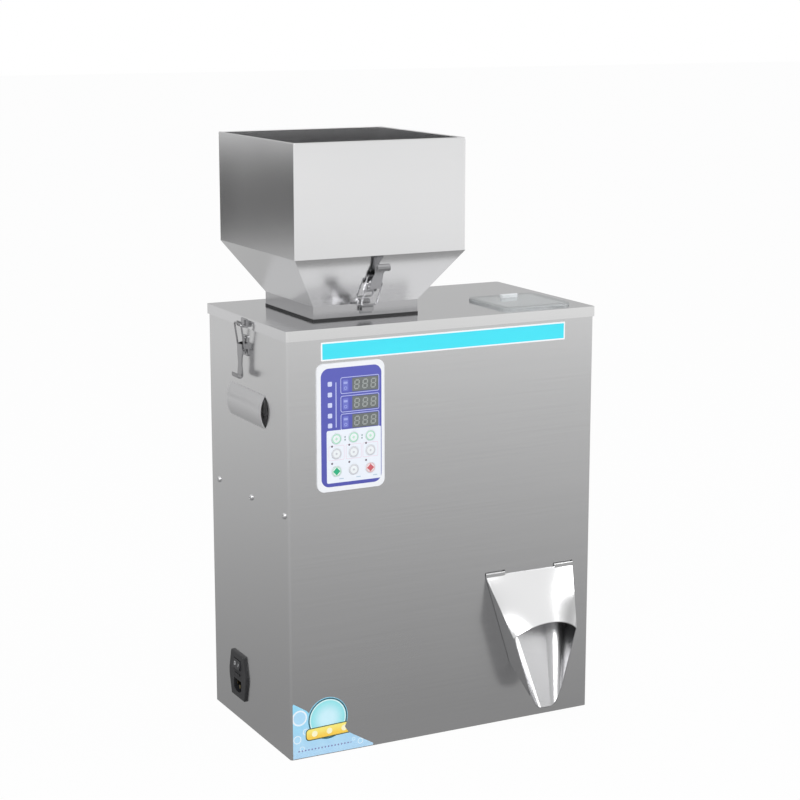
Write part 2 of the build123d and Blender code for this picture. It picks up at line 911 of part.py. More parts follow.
def spout_trough():
    # The sliding floor and its walls, open to the front, cut to its free edges.
    low = nose_z - 15
    high = spout_top + 6
    floor_low = nose_out - floor_slope * (low - nose_z)
    floor_high = nose_out - floor_slope * (high - nose_z)
    rim = [(2 * gap, spout_top), (hood_out, hood_z), (nose_out + 1, nose_z - 12),
           (2 * gap, nose_z - 12)]
    with BuildPart() as trough:
        add(spout_wedge(floor_low, floor_high, floor_r_low, floor_r_top, 0))
        add(spout_wedge(floor_low, floor_high, floor_r_low, floor_r_top, sheet), mode=Mode.SUBTRACT)
        add(side_profile(rim), mode=Mode.INTERSECT)
        add(nose_profile(), mode=Mode.INTERSECT)
    return trough.part


def spout_cheeks():
    # The flat side plates between the panel and the trough.
    plate = [(2 * gap, spout_top), (hood_out, hood_z), (cheek_out, cheek_low),
             (2 * gap, cheek_z)]
    behind = -4 * sheet
    with BuildPart() as cheeks:
        add(spout_wedge(behind, behind, 2 * sheet, 2 * sheet, 0))
        add(spout_wedge(behind, behind, 2 * sheet, 2 * sheet, sheet), mode=Mode.SUBTRACT)
        add(side_profile(plate), mode=Mode.INTERSECT)
    return cheeks.part


def spout_hood():
    # The bulged cover, spot-welded to the side plates: ruled from a straight top strip to an arched one.
    half = side_half(hood_out, hood_z)
    top_half = side_half(2 * gap, spout_top)
    rise_out = hood_arch_out - hood_out
    rise_z = hood_arch_z - hood_z
    rise = (rise_out ** 2 + rise_z ** 2) ** 0.5
    facing = (0, -rise_z, -rise_out)
    top = Plane(origin=(spout_x, front - 2 * gap, spout_top), x_dir=(1, 0, 0), z_dir=facing)
    arch = Plane(origin=(spout_x, front - hood_out, hood_z), x_dir=(1, 0, 0), z_dir=facing)
    with BuildLine(top):
        top_in = Line((-top_half, 0), (top_half, 0))
        top_out = Line((-top_half, sheet), (top_half, sheet))
        top_left = Line((-top_half, 0), (-top_half, sheet))
        top_right = Line((top_half, 0), (top_half, sheet))
    with BuildLine(arch):
        arch_in = ThreePointArc((sheet - half, 0), (0, rise - sheet), (half - sheet, 0))
        arch_out = ThreePointArc((-half, 0), (0, rise), (half, 0))
        arch_left = Line((sheet - half, 0), (-half, 0))
        arch_right = Line((half - sheet, 0), (half, 0))
    pairs = ((top_in, arch_in), (top_out, arch_out), (top_left, arch_left), (top_right, arch_right))
    faces = [Face.make_surface_from_curves(one.edge(), other.edge()) for one, other in pairs]
    for rim in zip(*pairs):
        faces.append(Face(Wire([line.edge() for line in rim])))
    with BuildPart() as hood:
        add(Solid(Shell(faces)))
    return hood.part


def spout_hook(hand):
    # A strip from the hood's top edge through its slot, turned up behind the panel.
    middle = spout_x + hand * (spout_half_top - hook_w / 2)
    inside = -sheet - 2.4
    with BuildPart() as hook:
        with BuildSketch(outward_plane(middle)):
            with BuildLine():
                FilletPolyline((1.4, spout_top - 2), (1.4, hook_z), (inside, hook_z),
                               (inside, hook_z + hook_tail), radius=0.8)
            trace(line_width=sheet)
        extrude(amount=hook_w / 2, both=True)
    return hook.part


def make_spout():
    # A hooded spout that hangs by two hooks in the panel's slots.
    with BuildPart() as spout:
        add(spout_trough())
        add(spout_cheeks())
    keep("spout", spout)
    with BuildPart() as hood:
        add(spout_hood())
        add(spout_hook(-1))
        add(spout_hook(1))
    keep("spout_hood", hood)


def make_chute():
    # A steep channel from under the bucket to the panel's mouth.
    end = inner_front + gap
    outline = [(chute_front, shelf_under), (chute_back, shelf_under), (end, mouth_low - 1),
               (end, mouth_high + 1), (chute_front, mouth_high + 8)]
    bore = [(chute_front + sheet, shelf_under + 5), (chute_back - 1.7 * sheet, shelf_under + 5),
            (chute_back - 1.7 * sheet, shelf_under), (end - 5, mouth_low + 0.8 - 5),
            (end - 5, mouth_high - sheet), (end, mouth_high - sheet), (chute_front + sheet, mouth_high + 8)]
    with BuildPart() as discharge_chute:
        with BuildSketch(Plane(origin=(bucket_x, 0, 0), x_dir=(0, 1, 0), z_dir=(1, 0, 0))):
            with BuildLine():
                Polyline(*outline, close=True)
            make_face()
        extrude(amount=chute_half_w, both=True)
        with BuildSketch(Plane(origin=(bucket_x, 0, 0), x_dir=(0, 1, 0), z_dir=(1, 0, 0))):
            with BuildLine():
                Polyline(*bore, close=True)
            make_face()
        extrude(amount=chute_half_w - sheet, both=True, mode=Mode.SUBTRACT)
    keep("discharge_chute", discharge_chute)


def make_feeder():
    base_low = shelf_z + foot_h
    with BuildPart() as feeder_feet:
        with BuildSketch(Plane.XY.offset(shelf_z)):
            with Locations((feeder_x, 0)):
                with GridLocations(feeder_l - foot_inset, feeder_d - foot_inset, 2, 2):
                    Circle(foot_r)
        extrude(amount=foot_h)
    keep("feeder_feet", feeder_feet)
    with BuildPart() as feeder_base:
        with BuildSketch(Plane.XY.offset(base_low)):
            with Locations((feeder_x, 0)):
                Rectangle(feeder_l, feeder_d)
        extrude(amount=feeder_t)
        fillet(feeder_base.edges().filter_by(Axis.Z), radius=6)
    keep("feeder_base", feeder_base)
    base_top = base_low + feeder_t
    make_leaf_springs(base_top)
    make_magnet(base_top)
    make_trough()


def leaf_foot(base_top, hand):
    # Where a leaf spring stands on the feeder's base.
    return Vector(feeder_x + hand * leaf_span / 2, 0, base_top)


def make_leaf_springs(base_top):
    # Two leaning leaf springs with clamp blocks at their feet.
    with BuildPart() as leaf_springs:
        for hand in (-1, 1):
            foot = leaf_foot(base_top, hand)
            lean = Plane(origin=foot, x_dir=(1, 0, 0), z_dir=(0, 0, 1)).rotated((0, -leaf_lean, 0))
            with BuildSketch(lean):
                Rectangle(leaf_t, leaf_w)
            extrude(amount=leaf_len)
            with BuildSketch(Plane.XY.offset(base_top)):
                with Locations((foot.X, 0)):
                    Rectangle(clamp_l, leaf_w)
            extrude(amount=clamp_h)
        split(bisect_by=Plane.XY.offset(base_top), keep=Keep.TOP)
    keep("leaf_springs", leaf_springs)


def make_magnet(base_top):
    # An E-shaped core whose poles face the armature, wound with one coil.
    pole_x = feeder_x + magnet_l / 2
    middle = base_top + magnet_h / 2
    core_w = magnet_d - core_yoke
    slot_x = feeder_x + core_yoke / 2
    with BuildPart() as magnet_core:
        with BuildSketch(Plane.XZ):
            with Locations((feeder_x, middle)):
                Rectangle(magnet_l, magnet_h)
            with Locations((slot_x, middle - core_slot_dz), (slot_x, middle + core_slot_dz)):
                Rectangle(magnet_l - core_yoke, core_slot_h, mode=Mode.SUBTRACT)
        extrude(amount=core_w / 2, both=True)
    keep("magnet_core", magnet_core)
    with BuildPart() as magnet_coil:
        with BuildSketch(Plane(origin=(feeder_x - 8, 0, middle), x_dir=(0, 1, 0), z_dir=(1, 0, 0))):
            RectangleRounded(core_w + 2 * coil_wall, coil_h, 5)
            Rectangle(core_w + gap, 2 * core_slot_dz - core_slot_h + gap, mode=Mode.SUBTRACT)
        extrude(amount=magnet_l - 18)
    keep("magnet_coil", magnet_coil)
    armature_low = base_top + 6
    with BuildPart() as armature:
        with BuildSketch(Plane.XZ):
            with Locations((pole_x + air_gap + armature_t / 2, (armature_low + trough_low) / 2)):
                Rectangle(armature_t, trough_low - armature_low)
            with Locations((pole_x + air_gap + armature_lap / 2, trough_low - armature_t / 2)):
                Rectangle(armature_lap, armature_t)
        extrude(amount=magnet_d / 2 - armature_t, both=True)
    keep("armature", armature)


def make_trough():
    # An open channel with a closed back, hung on lugs beside the leaf springs' tops.
    mid_x = (trough_front + trough_back) / 2
    length = trough_front - trough_back
    base_top = shelf_z + foot_h + feeder_t
    with BuildPart() as feed_trough:
        with BuildSketch(Plane.XY.offset(trough_low)):
            with Locations((mid_x, 0)):
                Rectangle(length, trough_w)
        extrude(amount=trough_h)
        with BuildSketch(Plane.XY.offset(trough_low + sheet)):
            with Locations((mid_x + sheet + 5, 0)):
                Rectangle(length + 10, trough_w - 2 * sheet)
        extrude(amount=trough_h, mode=Mode.SUBTRACT)
        for hand in (-1, 1):
            top_x = leaf_foot(base_top, hand).X - leaf_len * sin(radians(leaf_lean))
            for cheek in (-1, 1):
                with BuildSketch(Plane.XY.offset(trough_low)):
                    with Locations((top_x + 3, cheek * (leaf_w / 2 + gap + lug_t / 2))):
                        Rectangle(lug_w, lug_t)
                extrude(amount=-lug_drop)
    keep("feed_trough", feed_trough)


def make_bucket():
    # An open-bottomed box with a hinge rod behind and a bracket to the weighing cell.
    hinge_y = bucket_d / 2 + flap_eye_r + 0.5
    hinge_z = bucket_low - gap - flap_t / 2
    wall_top = bucket_high - bucket_low
    with BuildPart() as weigh_bucket:
        with BuildSketch(Plane.XY.offset(bucket_low)):
            with Locations((bucket_x, 0)):
                Rectangle(bucket_w, bucket_d)
                Rectangle(bucket_w - 2 * sheet, bucket_d - 2 * sheet, mode=Mode.SUBTRACT)
        extrude(amount=wall_top)
        for hand in (-1, 1):
            ear_x = bucket_x + hand * (bucket_w / 2 - sheet / 2)
            with BuildSketch(Plane(origin=(ear_x, 0, 0), x_dir=(0, 1, 0), z_dir=(1, 0, 0))):
                with BuildLine():
                    Polyline((bucket_d / 2 - sheet, bucket_low), (bucket_d / 2 - sheet, bucket_low + ear_drop),
                             (hinge_y + ear_reach, hinge_z + ear_reach),
                             (hinge_y + ear_reach, hinge_z - ear_reach),
                             (hinge_y - ear_reach, hinge_z - ear_reach),
                             (hinge_y - ear_reach, bucket_low), close=True)
                make_face()
            extrude(amount=sheet / 2, both=True)
        with BuildSketch(Plane(origin=(bucket_x - bucket_w / 2, hinge_y, hinge_z), x_dir=(0, 1, 0),
                               z_dir=(1, 0, 0))):
            Circle(flap_pin_r)
        extrude(amount=bucket_w)
        cell_front = cell_y - cell_side / 2
        with BuildSketch(Plane.XY.offset(cell_z - bracket_h / 2)):
            with Locations((bucket_x + bucket_w / 2 - bracket_w, (bucket_d / 2 + cell_front) / 2)):
                Rectangle(bracket_w, cell_front - bucket_d / 2)
        extrude(amount=bracket_h)
    keep("weigh_bucket", weigh_bucket)
    make_flap(hinge_y, hinge_z)
    make_cell()
    make_motor(hinge_y, hinge_z)


def make_flap(hinge_y, hinge_z):
    # The bucket's floor: a plate on two eyes, with a tab beside the bucket for the crank.
    eye_l = bucket_w / 2 - 8
    depth = bucket_d / 2 + hinge_y
    with BuildPart() as bucket_flap:
        with BuildSketch(Plane.XY.offset(hinge_z - flap_t / 2)):
            with Locations((bucket_x, hinge_y - depth / 2)):
                Rectangle(bucket_w - 2 * sheet - 1, depth)
            with Locations((bucket_x + bucket_w / 2 + 0.5, hinge_y - crank_r)):
                Rectangle(tab_w, tab_d)
        extrude(amount=flap_t)
        with BuildSketch(Plane(origin=(bucket_x - eye_l, hinge_y, hinge_z), x_dir=(0, 1, 0),
                               z_dir=(1, 0, 0))):
            Circle(flap_eye_r)
        extrude(amount=2 * eye_l)
        with BuildSketch(Plane(origin=(bucket_x - bucket_w, hinge_y, hinge_z), x_dir=(0, 1, 0),
                               z_dir=(1, 0, 0))):
            Circle(flap_pin_r + pin_gap)
        extrude(amount=2 * bucket_w, mode=Mode.SUBTRACT)
    keep("bucket_flap", bucket_flap)


def make_cell():
    # A bending-beam weighing cell on a post beside the shelf's bay.
    near = bucket_x + bucket_w / 2 - cell_overlap
    middle = near - cell_len / 2
    with BuildPart() as weigh_cell:
        with BuildSketch(Plane.XZ.offset(-cell_y)):
            with Locations((middle, cell_z)):
                Rectangle(cell_len, cell_side)
            with Locations((middle - cell_hole_step, cell_z), (middle + cell_hole_step, cell_z)):
                Circle(cell_hole_r, mode=Mode.SUBTRACT)
        extrude(amount=cell_side / 2, both=True)
    keep("weigh_cell", weigh_cell)
    with BuildPart() as cell_post:
        post_x = near - cell_len + post_w / 2
        with BuildSketch(Plane.XY.offset(shelf_z)):
            with Locations((post_x, cell_y)):
                Rectangle(post_w, cell_side)
        extrude(amount=cell_z - cell_side / 2 - shelf_z)
        with BuildSketch(Plane.XY.offset(shelf_z)):
            with Locations((post_x - post_w / 2, cell_y)):
                Rectangle(post_foot_w, cell_side + 10)
        extrude(amount=post_foot_t)
    keep("cell_post", cell_post)


def make_motor(hinge_y, hinge_z):
    # A small geared motor in line with the flap's hinge, and the crank that lets the flap down.
    shaft_x = bucket_x + bucket_w / 2 + shaft_dx
    axis = Plane(origin=(shaft_x, hinge_y, hinge_z), x_dir=(0, 1, 0), z_dir=(1, 0, 0))
    foot_w = 2 * (motor_r + motor_foot)
    with BuildPart() as flap_motor:
        with BuildSketch(axis):
            Circle(motor_r)
        extrude(amount=motor_len)
        with BuildSketch(axis):
            Circle(shaft_r)
        extrude(amount=-shaft_out)
        with BuildSketch(axis):
            with Locations((0, (shelf_z - hinge_z) / 2)):
                Rectangle(foot_w, hinge_z - shelf_z)
        extrude(amount=motor_foot)
        with BuildSketch(Plane.XY.offset(shelf_z)):
            with Locations((shaft_x + motor_len / 2, hinge_y)):
                Rectangle(motor_len, foot_w)
        extrude(amount=motor_foot_t)
    keep("flap_motor", flap_motor)
    drop = flap_t / 2 + gap + crank_pin_r
    hub = Plane(origin=(shaft_x - shaft_out + 0.5, hinge_y, hinge_z), x_dir=(0, 1, 0), z_dir=(1, 0, 0))
    with BuildPart() as flap_crank:
        with BuildSketch(hub):
            Circle(crank_hub_r)
            with Locations((-crank_r / 2, -drop / 2)):
                Rectangle(crank_r, crank_arm_w)
            with Locations((-crank_r, -drop)):
                Circle(crank_arm_w / 2)
            Circle(shaft_r + pin_gap, mode=Mode.SUBTRACT)
        extrude(amount=crank_t)
        with BuildSketch(hub):
            with Locations((-crank_r, -drop)):
                Circle(crank_pin_r)
        extrude(amount=-crank_pin_l)
    keep("flap_crank", flap_crank)


def make_electronics():
    # The control board stands off the rear cover, and the transformer sits on the base plate.
    board_y = back - sheet - standoff
    with BuildPart() as control_board:
        with BuildSketch(Plane.XZ.offset(-board_y)):
            with Locations((board_x, board_z)):
                Rectangle(board_w, board_h)
        extrude(amount=board_t)
        with BuildSketch(Plane.XZ.offset(-board_y)):
            with Locations((board_x, board_z)):
                with GridLocations(board_w - 2 * board_inset, board_h - 2 * board_inset, 2, 2):
                    Circle(standoff_r)
        extrude(amount=-standoff)
        for x, z, width, height, tall in chips:
            with BuildSketch(Plane.XZ.offset(-board_y + board_t)):
                with Locations((x, z)):
                    Rectangle(width, height)
            extrude(amount=tall)
    keep("control_board", control_board)
    bobbin_low = base_sheet + (core_h - bobbin_h) / 2
    with BuildPart() as transformer:
        with BuildSketch(Plane.XY.offset(base_sheet)):
            with Locations((transformer_x, transformer_y)):
                Rectangle(core_w, core_d)
        extrude(amount=core_h)
        with BuildSketch(Plane.XY.offset(bobbin_low)):
            with Locations((transformer_x, transformer_y)):
                RectangleRounded(bobbin_w, bobbin_d, 8)
        extrude(amount=bobbin_h)
    keep("transformer", transformer)


def make_inlet():
    # Flange, socket, fuse drawer and rocker switch of the power inlet.
    face = wall_plane(-1, inlet_y, inlet_z)
    outer = face.offset(inlet_flange)
    half_h = inlet_h / 2
    with BuildPart() as inlet_body:
        with BuildSketch(face) as flange:
            with BuildLine():
                Polyline((-inlet_top_w / 2, half_h), (inlet_top_w / 2, half_h), (inlet_ears / 2, ear_flat),
                         (inlet_ears / 2, -ear_flat), (inlet_top_w / 2, -half_h), (-inlet_top_w / 2, -half_h),
                         (-inlet_ears / 2, -ear_flat), (-inlet_ears / 2, ear_flat), close=True)
            make_face()
            fillet(flange.vertices(), radius=2.0)
        extrude(amount=inlet_flange)
        chamfer(inlet_body.faces().sort_by(Axis.X)[0].edges(), length=0.8)
        with BuildSketch(face):
            Rectangle(inlet_body_w, inlet_body_h)
        extrude(amount=-inlet_body_l)
        port = Plane(origin=outer.from_local_coords((0, port_dz, 0)), x_dir=outer.x_dir, z_dir=outer.z_dir)
        with BuildSketch(port):
            with BuildLine():
                Polyline((-port_w / 2, -port_h / 2), (port_w / 2, -port_h / 2), (port_w / 2, port_cut),
                         (port_cut, port_h / 2), (-port_cut, port_h / 2), (-port_w / 2, port_cut),
                         close=True)
            make_face()
        extrude(amount=-port_deep, mode=Mode.SUBTRACT)
        with BuildSketch(outer):
            with Locations((0, drawer_dz)):
                Rectangle(drawer_w + 2 * gap, drawer_h + 2 * gap)
        extrude(amount=-drawer_deep - 2, mode=Mode.SUBTRACT)
        with BuildSketch(outer):
            with Locations((0, rocker_dz)):
                Rectangle(rocker_w + 4 * gap, rocker_h + 4 * gap)
        extrude(amount=-(inlet_flange + rocker_deep), mode=Mode.SUBTRACT)
    keep("inlet_body", inlet_body)
    with BuildPart() as inlet_contacts:
        for dy, dz in contact_spots:
            with BuildSketch(face.offset(inlet_flange - port_deep)):
                with Locations((dy, port_dz + dz)):
                    Rectangle(contact_w, contact_h)
            extrude(amount=port_deep - inlet_flange)
    keep("inlet_contacts", inlet_contacts)
    with BuildPart() as fuse_drawer:
        with BuildSketch(outer):
            with Locations((0, drawer_dz)):
                Rectangle(drawer_w, drawer_h)
        extrude(amount=-drawer_deep)
        with BuildSketch(outer):
            with Locations((0, drawer_dz)):
                Rectangle(drawer_w - 6, 2.2)
        extrude(amount=drawer_rib)
    keep("fuse_drawer", fuse_drawer)
    half_h = rocker_h / 2
    with BuildPart() as power_rocker:
        with BuildSketch(Plane(origin=face.offset(inlet_flange).from_local_coords((0, rocker_dz, 0)),
                               x_dir=(-1, 0, 0), z_dir=(0, 1, 0))):
            with BuildLine():
                Polyline((-6, -3.2), (0.2, 0.7 - half_h), (2.4, 0.8 - half_h), (1.0, 0),
                         (0.4, half_h - 0.3), (-2.0, half_h - 0.5), (-6, 3.2), close=True)
            make_face()
        extrude(amount=rocker_w / 2, both=True)
    keep("power_rocker", power_rocker)


def make_right_side():
    face = wall_plane(1, pedal_y, pedal_z)
    with BuildPart() as pedal_socket:
        with BuildSketch(face):
            Circle(pedal_r + 1.5)
        extrude(amount=1.4)
        with BuildSketch(face):
            Circle(pedal_r)
        extrude(amount=pedal_reach)
        with BuildSketch(face):
            Circle(pedal_r - 1)
        extrude(amount=-14)
        chamfer(pedal_socket.faces().sort_by(Axis.X)[-1].edges(), length=0.8)
        with BuildSketch(face.offset(pedal_reach + 1)):
            Circle(pedal_bore)
        extrude(amount=-20, mode=Mode.SUBTRACT)
    keep("pedal_socket", pedal_socket)
    wall = wall_plane(1, grommet_y, grommet_z)
    with BuildPart() as cable_grommet:
        with BuildSketch(wall):
            Circle(grommet_r)
        extrude(amount=1.2)
        with BuildSketch(wall):
            Circle(grommet_r - 1)
        extrude(amount=-sheet)
        with BuildSketch(wall.offset(-sheet)):
            Circle(grommet_r)
        extrude(amount=-1.2)
        with BuildSketch(wall.offset(5)):
            Circle(grommet_bore)
        extrude(amount=-12, mode=Mode.SUBTRACT)
    keep("cable_grommet", cable_grommet)
    sensor = front_plane(spout_x + sensor_dx, sensor_z)
    with BuildPart() as bag_sensor:
        with BuildSketch(sensor):
            Circle(sensor_r)
        extrude(amount=sensor_reach)
        fillet(bag_sensor.faces().sort_by(Axis.Y)[0].edges(), radius=1.5)
        with BuildSketch(sensor):
            Circle(sensor_r - 1)
        extrude(amount=-10)
        with BuildSketch(sensor.offset(-sheet)):
            RegularPolygon(sensor_r + 1.5, 6)
        extrude(amount=-3)
    keep("bag_sensor", bag_sensor)


def main():
    os.makedirs("parts", exist_ok=True)
    make_case_shell()
    make_back_panel()
    make_base_plate()
    make_shelf()
    make_lid()
    make_hopper()
    make_window()
    make_latches()
    make_handles()
    make_controls()
    make_spout()
    make_chute()
    make_feeder()
    make_bucket()
    make_electronics()
    make_inlet()
    make_right_side()


main()
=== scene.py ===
# The looks of the powder filling machine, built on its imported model.
# Metres, +Z up, the front panel faces -Y. Sizes below are written in millimetres.
import math

import bmesh
import bpy
from mathutils import Matrix, Vector


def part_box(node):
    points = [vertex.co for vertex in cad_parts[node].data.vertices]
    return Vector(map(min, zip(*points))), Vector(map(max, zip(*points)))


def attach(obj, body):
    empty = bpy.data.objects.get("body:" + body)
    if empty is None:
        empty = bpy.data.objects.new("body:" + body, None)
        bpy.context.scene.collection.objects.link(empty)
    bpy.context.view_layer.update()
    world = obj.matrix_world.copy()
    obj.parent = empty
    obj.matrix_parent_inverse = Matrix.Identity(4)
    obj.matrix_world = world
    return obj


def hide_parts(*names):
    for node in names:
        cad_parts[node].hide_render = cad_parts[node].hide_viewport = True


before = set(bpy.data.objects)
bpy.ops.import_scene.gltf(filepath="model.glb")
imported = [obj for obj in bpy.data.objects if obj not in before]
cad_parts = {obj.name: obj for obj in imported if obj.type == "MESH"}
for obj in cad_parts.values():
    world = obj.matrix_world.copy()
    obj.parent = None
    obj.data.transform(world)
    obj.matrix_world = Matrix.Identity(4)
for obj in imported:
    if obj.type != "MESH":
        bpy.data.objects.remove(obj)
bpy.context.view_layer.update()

MM = 0.001

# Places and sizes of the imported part, in millimetres
PANEL_Y = -116.0
LID_SKIRT_Y = -116.6
SIDE_X = 201.0
BACK_Y = 116.0
STRIP = (-159.0, 161.0, 466.0, 487.3)
STRIP_BORDER = 1.7
STICKER_CIRCLE = (-154.0, 44.0, 25.0)
OVERLAY = (-122.8, 389.0)
READOUT_X = 18.1
READOUT_ROWS = (47.5, 26.2, 5.5)
DIGIT_STEP = 10.4
KEY_COLUMNS = (-18.4, 3.2, 24.4)
KEY_ROWS = (-13.3, -30.5, -51.0)
SHELF_SCREW_Z = 290.0
SHELF_SCREW_Y = (-105.0, -10.0, 90.0)
SMALL_SCREW_Y = 4.5
SMALL_SCREW_Z = (35.6, 58.0)
REAR_SCREW_X = 193.0
REAR_SCREW_Z = (24.0, 245.0, 466.0)
SCREW_HEAD_R = 3.8
SCREW_SHANK_R = 2.0
SCREW_SHANK_L = 7.0
THREAD_PITCH = 0.7
THREAD_DEPTH = 0.3
THREAD_TURNS = 9
CROSS_DEPTH = 0.9
SENSOR = (125.0, 36.0)
LENS_R = 2.9

# The overlay's print: width, height and corner radius of its fields, and its rows
BLUE_FIELD = (76.0, 137.0, 10.0)
KEY_FIELD = (68.4, 61.1, 2.0)
READOUT_FRAME_OUT = (48.6, 19.0, 2.4)
READOUT_FRAME_IN = (47.2, 17.6, 1.8)
SIDE_BLOCK = (5.4, 5.4, 1.2)
BLOCK_ROWS = (50.5, 38.2, 26.2, 14.0, 2.6)
KEY_FRAME_OUT = (19.6, 17.0, 1.5)
KEY_FRAME_IN = (18.6, 16.0, 1.2)
LAMP_ROWS = (-21.6, -41.6)
LAMP_R = 1.2
KEY_RING = (5.6, 4.4)

# The sticker's bubbles: x, z and radius
BUBBLES = ((-190.0, 50.0, 9.5), (-182.0, 32.0, 4.0), (-193.0, 24.0, 5.0),
           (-112.0, 9.0, 3.5), (-121.0, 13.0, 2.2), (-187.0, 12.0, 3.0))

# How far the strip and the sticker stand out of the panel, and how far their backs lie in it
FILM_T = 0.3
FILM_SUNK = 0.1

# Camera and lamps, in metres
CAMERA_PLACE = (-1.063, -2.069, 0.864)
CAMERA_AIM = (0.0, 0.0, 0.386)
CAMERA_LENS = 88.0
LAMP_AIM = (0, 0, 0.35)


# Shader sums and nodes

class Amount:
    """A number that a node gives, so that a shader sum reads as a plain sum."""

    def __init__(self, nodes, socket):
        self.nodes = nodes
        self.socket = socket

    def maths(self, operation, *others):
        return self.nodes.maths(operation, self, *others)

    def __add__(self, other):
        return self.maths("ADD", other)

    __radd__ = __add__

    def __sub__(self, other):
        return self.maths("SUBTRACT", other)

    def __rsub__(self, other):
        return self.nodes.maths("SUBTRACT", other, self)

    def __mul__(self, other):
        return self.maths("MULTIPLY", other)

    __rmul__ = __mul__

    def __truediv__(self, other):
        return self.maths("DIVIDE", other)

    def __pow__(self, other):
        return self.maths("POWER", other)

    def __mod__(self, other):
        return self.maths("FLOORED_MODULO", other)

    def __abs__(self):
        return self.maths("ABSOLUTE")

    def __lt__(self, other):
        return self.maths("LESS_THAN", other)

    def __gt__(self, other):
        return self.maths("GREATER_THAN", other)

    def __or__(self, other):
        return self.maths("MAXIMUM", other)


class Nodes:
    """Writes into one shader tree."""

    def __init__(self, tree):
        self.tree = tree

    def feed(self, socket, value):
        if isinstance(value, Amount):
            value = value.socket
        if isinstance(value, bpy.types.NodeSocket):
            self.tree.links.new(value, socket)
        elif isinstance(value, tuple) and len(value) == 3 and socket.type == "RGBA":
            socket.default_value = (*value, 1.0)
        else:
            socket.default_value = value

    def node(self, kind, settings=None, inputs=None):
        node = self.tree.nodes.new(kind)
        for name, value in (settings or {}).items():
            if name == "stops":
                self.set_stops(node.color_ramp, value)
            else:
                setattr(node, name, value)
        for name, value in (inputs or {}).items():
            self.feed(node.inputs[name], value)
        return node

    def set_stops(self, ramp, stops):
        while len(ramp.elements) < len(stops):
            ramp.elements.new(1.0)
        for element, (spot, colour) in zip(ramp.elements, stops):
            element.position = spot
            element.color = (*colour, 1.0)

    def maths(self, operation, *values):
        node = self.node("ShaderNodeMath", {"operation": operation}, dict(enumerate(values)))
        return Amount(self, node.outputs[0])

    def mix(self, mask, under, over):
        node = self.node("ShaderNodeMix", {"data_type": "RGBA"}, {0: mask, 6: under, 7: over})
        return node.outputs[2]

    def ramp(self, value, *stops):
        node = self.node("ShaderNodeValToRGB", {"stops": stops}, {"Fac": value})
        return node.outputs["Color"]

    def split(self, vector):
        node = self.node("ShaderNodeSeparateXYZ", None, {0: vector})
        return [Amount(self, socket) for socket in node.outputs]

    def ease(self, value, low, high):
        # 0 below low, 1 above high, smooth between.
        node = self.node("ShaderNodeMapRange", {"interpolation_type": "SMOOTHSTEP"},
                         {"Value": value, "From Min": low, "From Max": high})
        return Amount(self, node.outputs["Result"])

    def noise(self, stretch, detail=2.0, rough=0.5):
        # Cloudy noise on the piece's own coordinates. Stretch is its scale per metre on each axis.
        spots = self.node("ShaderNodeTexCoord").outputs["Object"]
        scaled = self.node("ShaderNodeMapping", None, {"Vector": spots, "Scale": stretch})
        node = self.node("ShaderNodeTexNoise", None,
                         {"Vector": scaled.outputs[0], "Scale": 1.0, "Detail": detail,
                          "Roughness": rough})
        return Amount(self, node.outputs[0])

    def place(self, x=0.0, y=0.0, z=0.0):
        # The piece's own coordinates in millimetres, from a centre.
        spots = self.node("ShaderNodeTexCoord").outputs["Object"]
        return [axis * 1000.0 - at for axis, at in zip(self.split(spots), (x, y, z))]


class Finish(Nodes):
    """One material of the machine."""

    def __init__(self, name, colour, metallic=0.0, roughness=0.4, **constants):
        self.material = bpy.data.materials.new(name)
        self.material.use_nodes = True
        super().__init__(self.material.node_tree)
        self.shader = self.tree.nodes["Principled BSDF"]
        self.colour = colour
        self.material.diffuse_color = (*colour, 1.0)
        self.set(Base_Color=colour, Metallic=metallic, Roughness=roughness, **constants)

    def set(self, **sockets):
        for name, value in sockets.items():
            self.feed(self.shader.inputs[name.replace("_", " ")], value)

    def shade(self, amount):
        # The finish's colour, darker or lighter by a factor.
        return tuple(min(1.0, channel * amount) for channel in self.colour)

    def bump(self, height, distance, strength=1.0):
        # Height is in millimetres times distance.
        node = self.node("ShaderNodeBump", None,
                         {"Height": height, "Distance": distance * MM, "Strength": strength})
        self.set(Normal=node.outputs[0])

    def box(self, x, z, width, height, radius):
        # 1 inside a rounded rectangle round the origin of x and z.
        over_x = (abs(x) - (width / 2 - radius)) | 0.0
        over_z = (abs(z) - (height / 2 - radius)) | 0.0
        return (over_x * over_x + over_z * over_z) < radius * radius

    def disc(self, x, z, radius):
        return (x * x + z * z) < radius * radius

    def ring(self, x, z, outer, inner):
        span = x * x + z * z
        return (span < outer * outer) * (span > inner * inner)


# Finishes

GRAIN = {"x": (5.0, 900.0, 900.0), "y": (900.0, 5.0, 900.0), "z": (900.0, 900.0, 5.0)}


def brushed(name, colour, grain="x", roughness=0.2, haze=0.08):
    # Rolled stainless sheet: hair-fine grain one way, cloudy hand marks and a slight waviness.
    steel = Finish(name, colour, metallic=1.0, roughness=roughness)
    hair = steel.noise(GRAIN[grain], detail=3.0)
    cloud = steel.noise((7.0, 7.0, 7.0), detail=3.0)
    wave = steel.noise((11.0, 11.0, 11.0), detail=0.0)
    steel.set(Base_Color=steel.mix(hair, steel.shade(0.965), steel.shade(1.03)),
              Roughness=roughness + (hair - 0.5) * 0.1 + (cloud - 0.5) * haze)
    steel.bump(hair * 0.01 + wave * 0.35, 1.0, 0.35)
    return steel


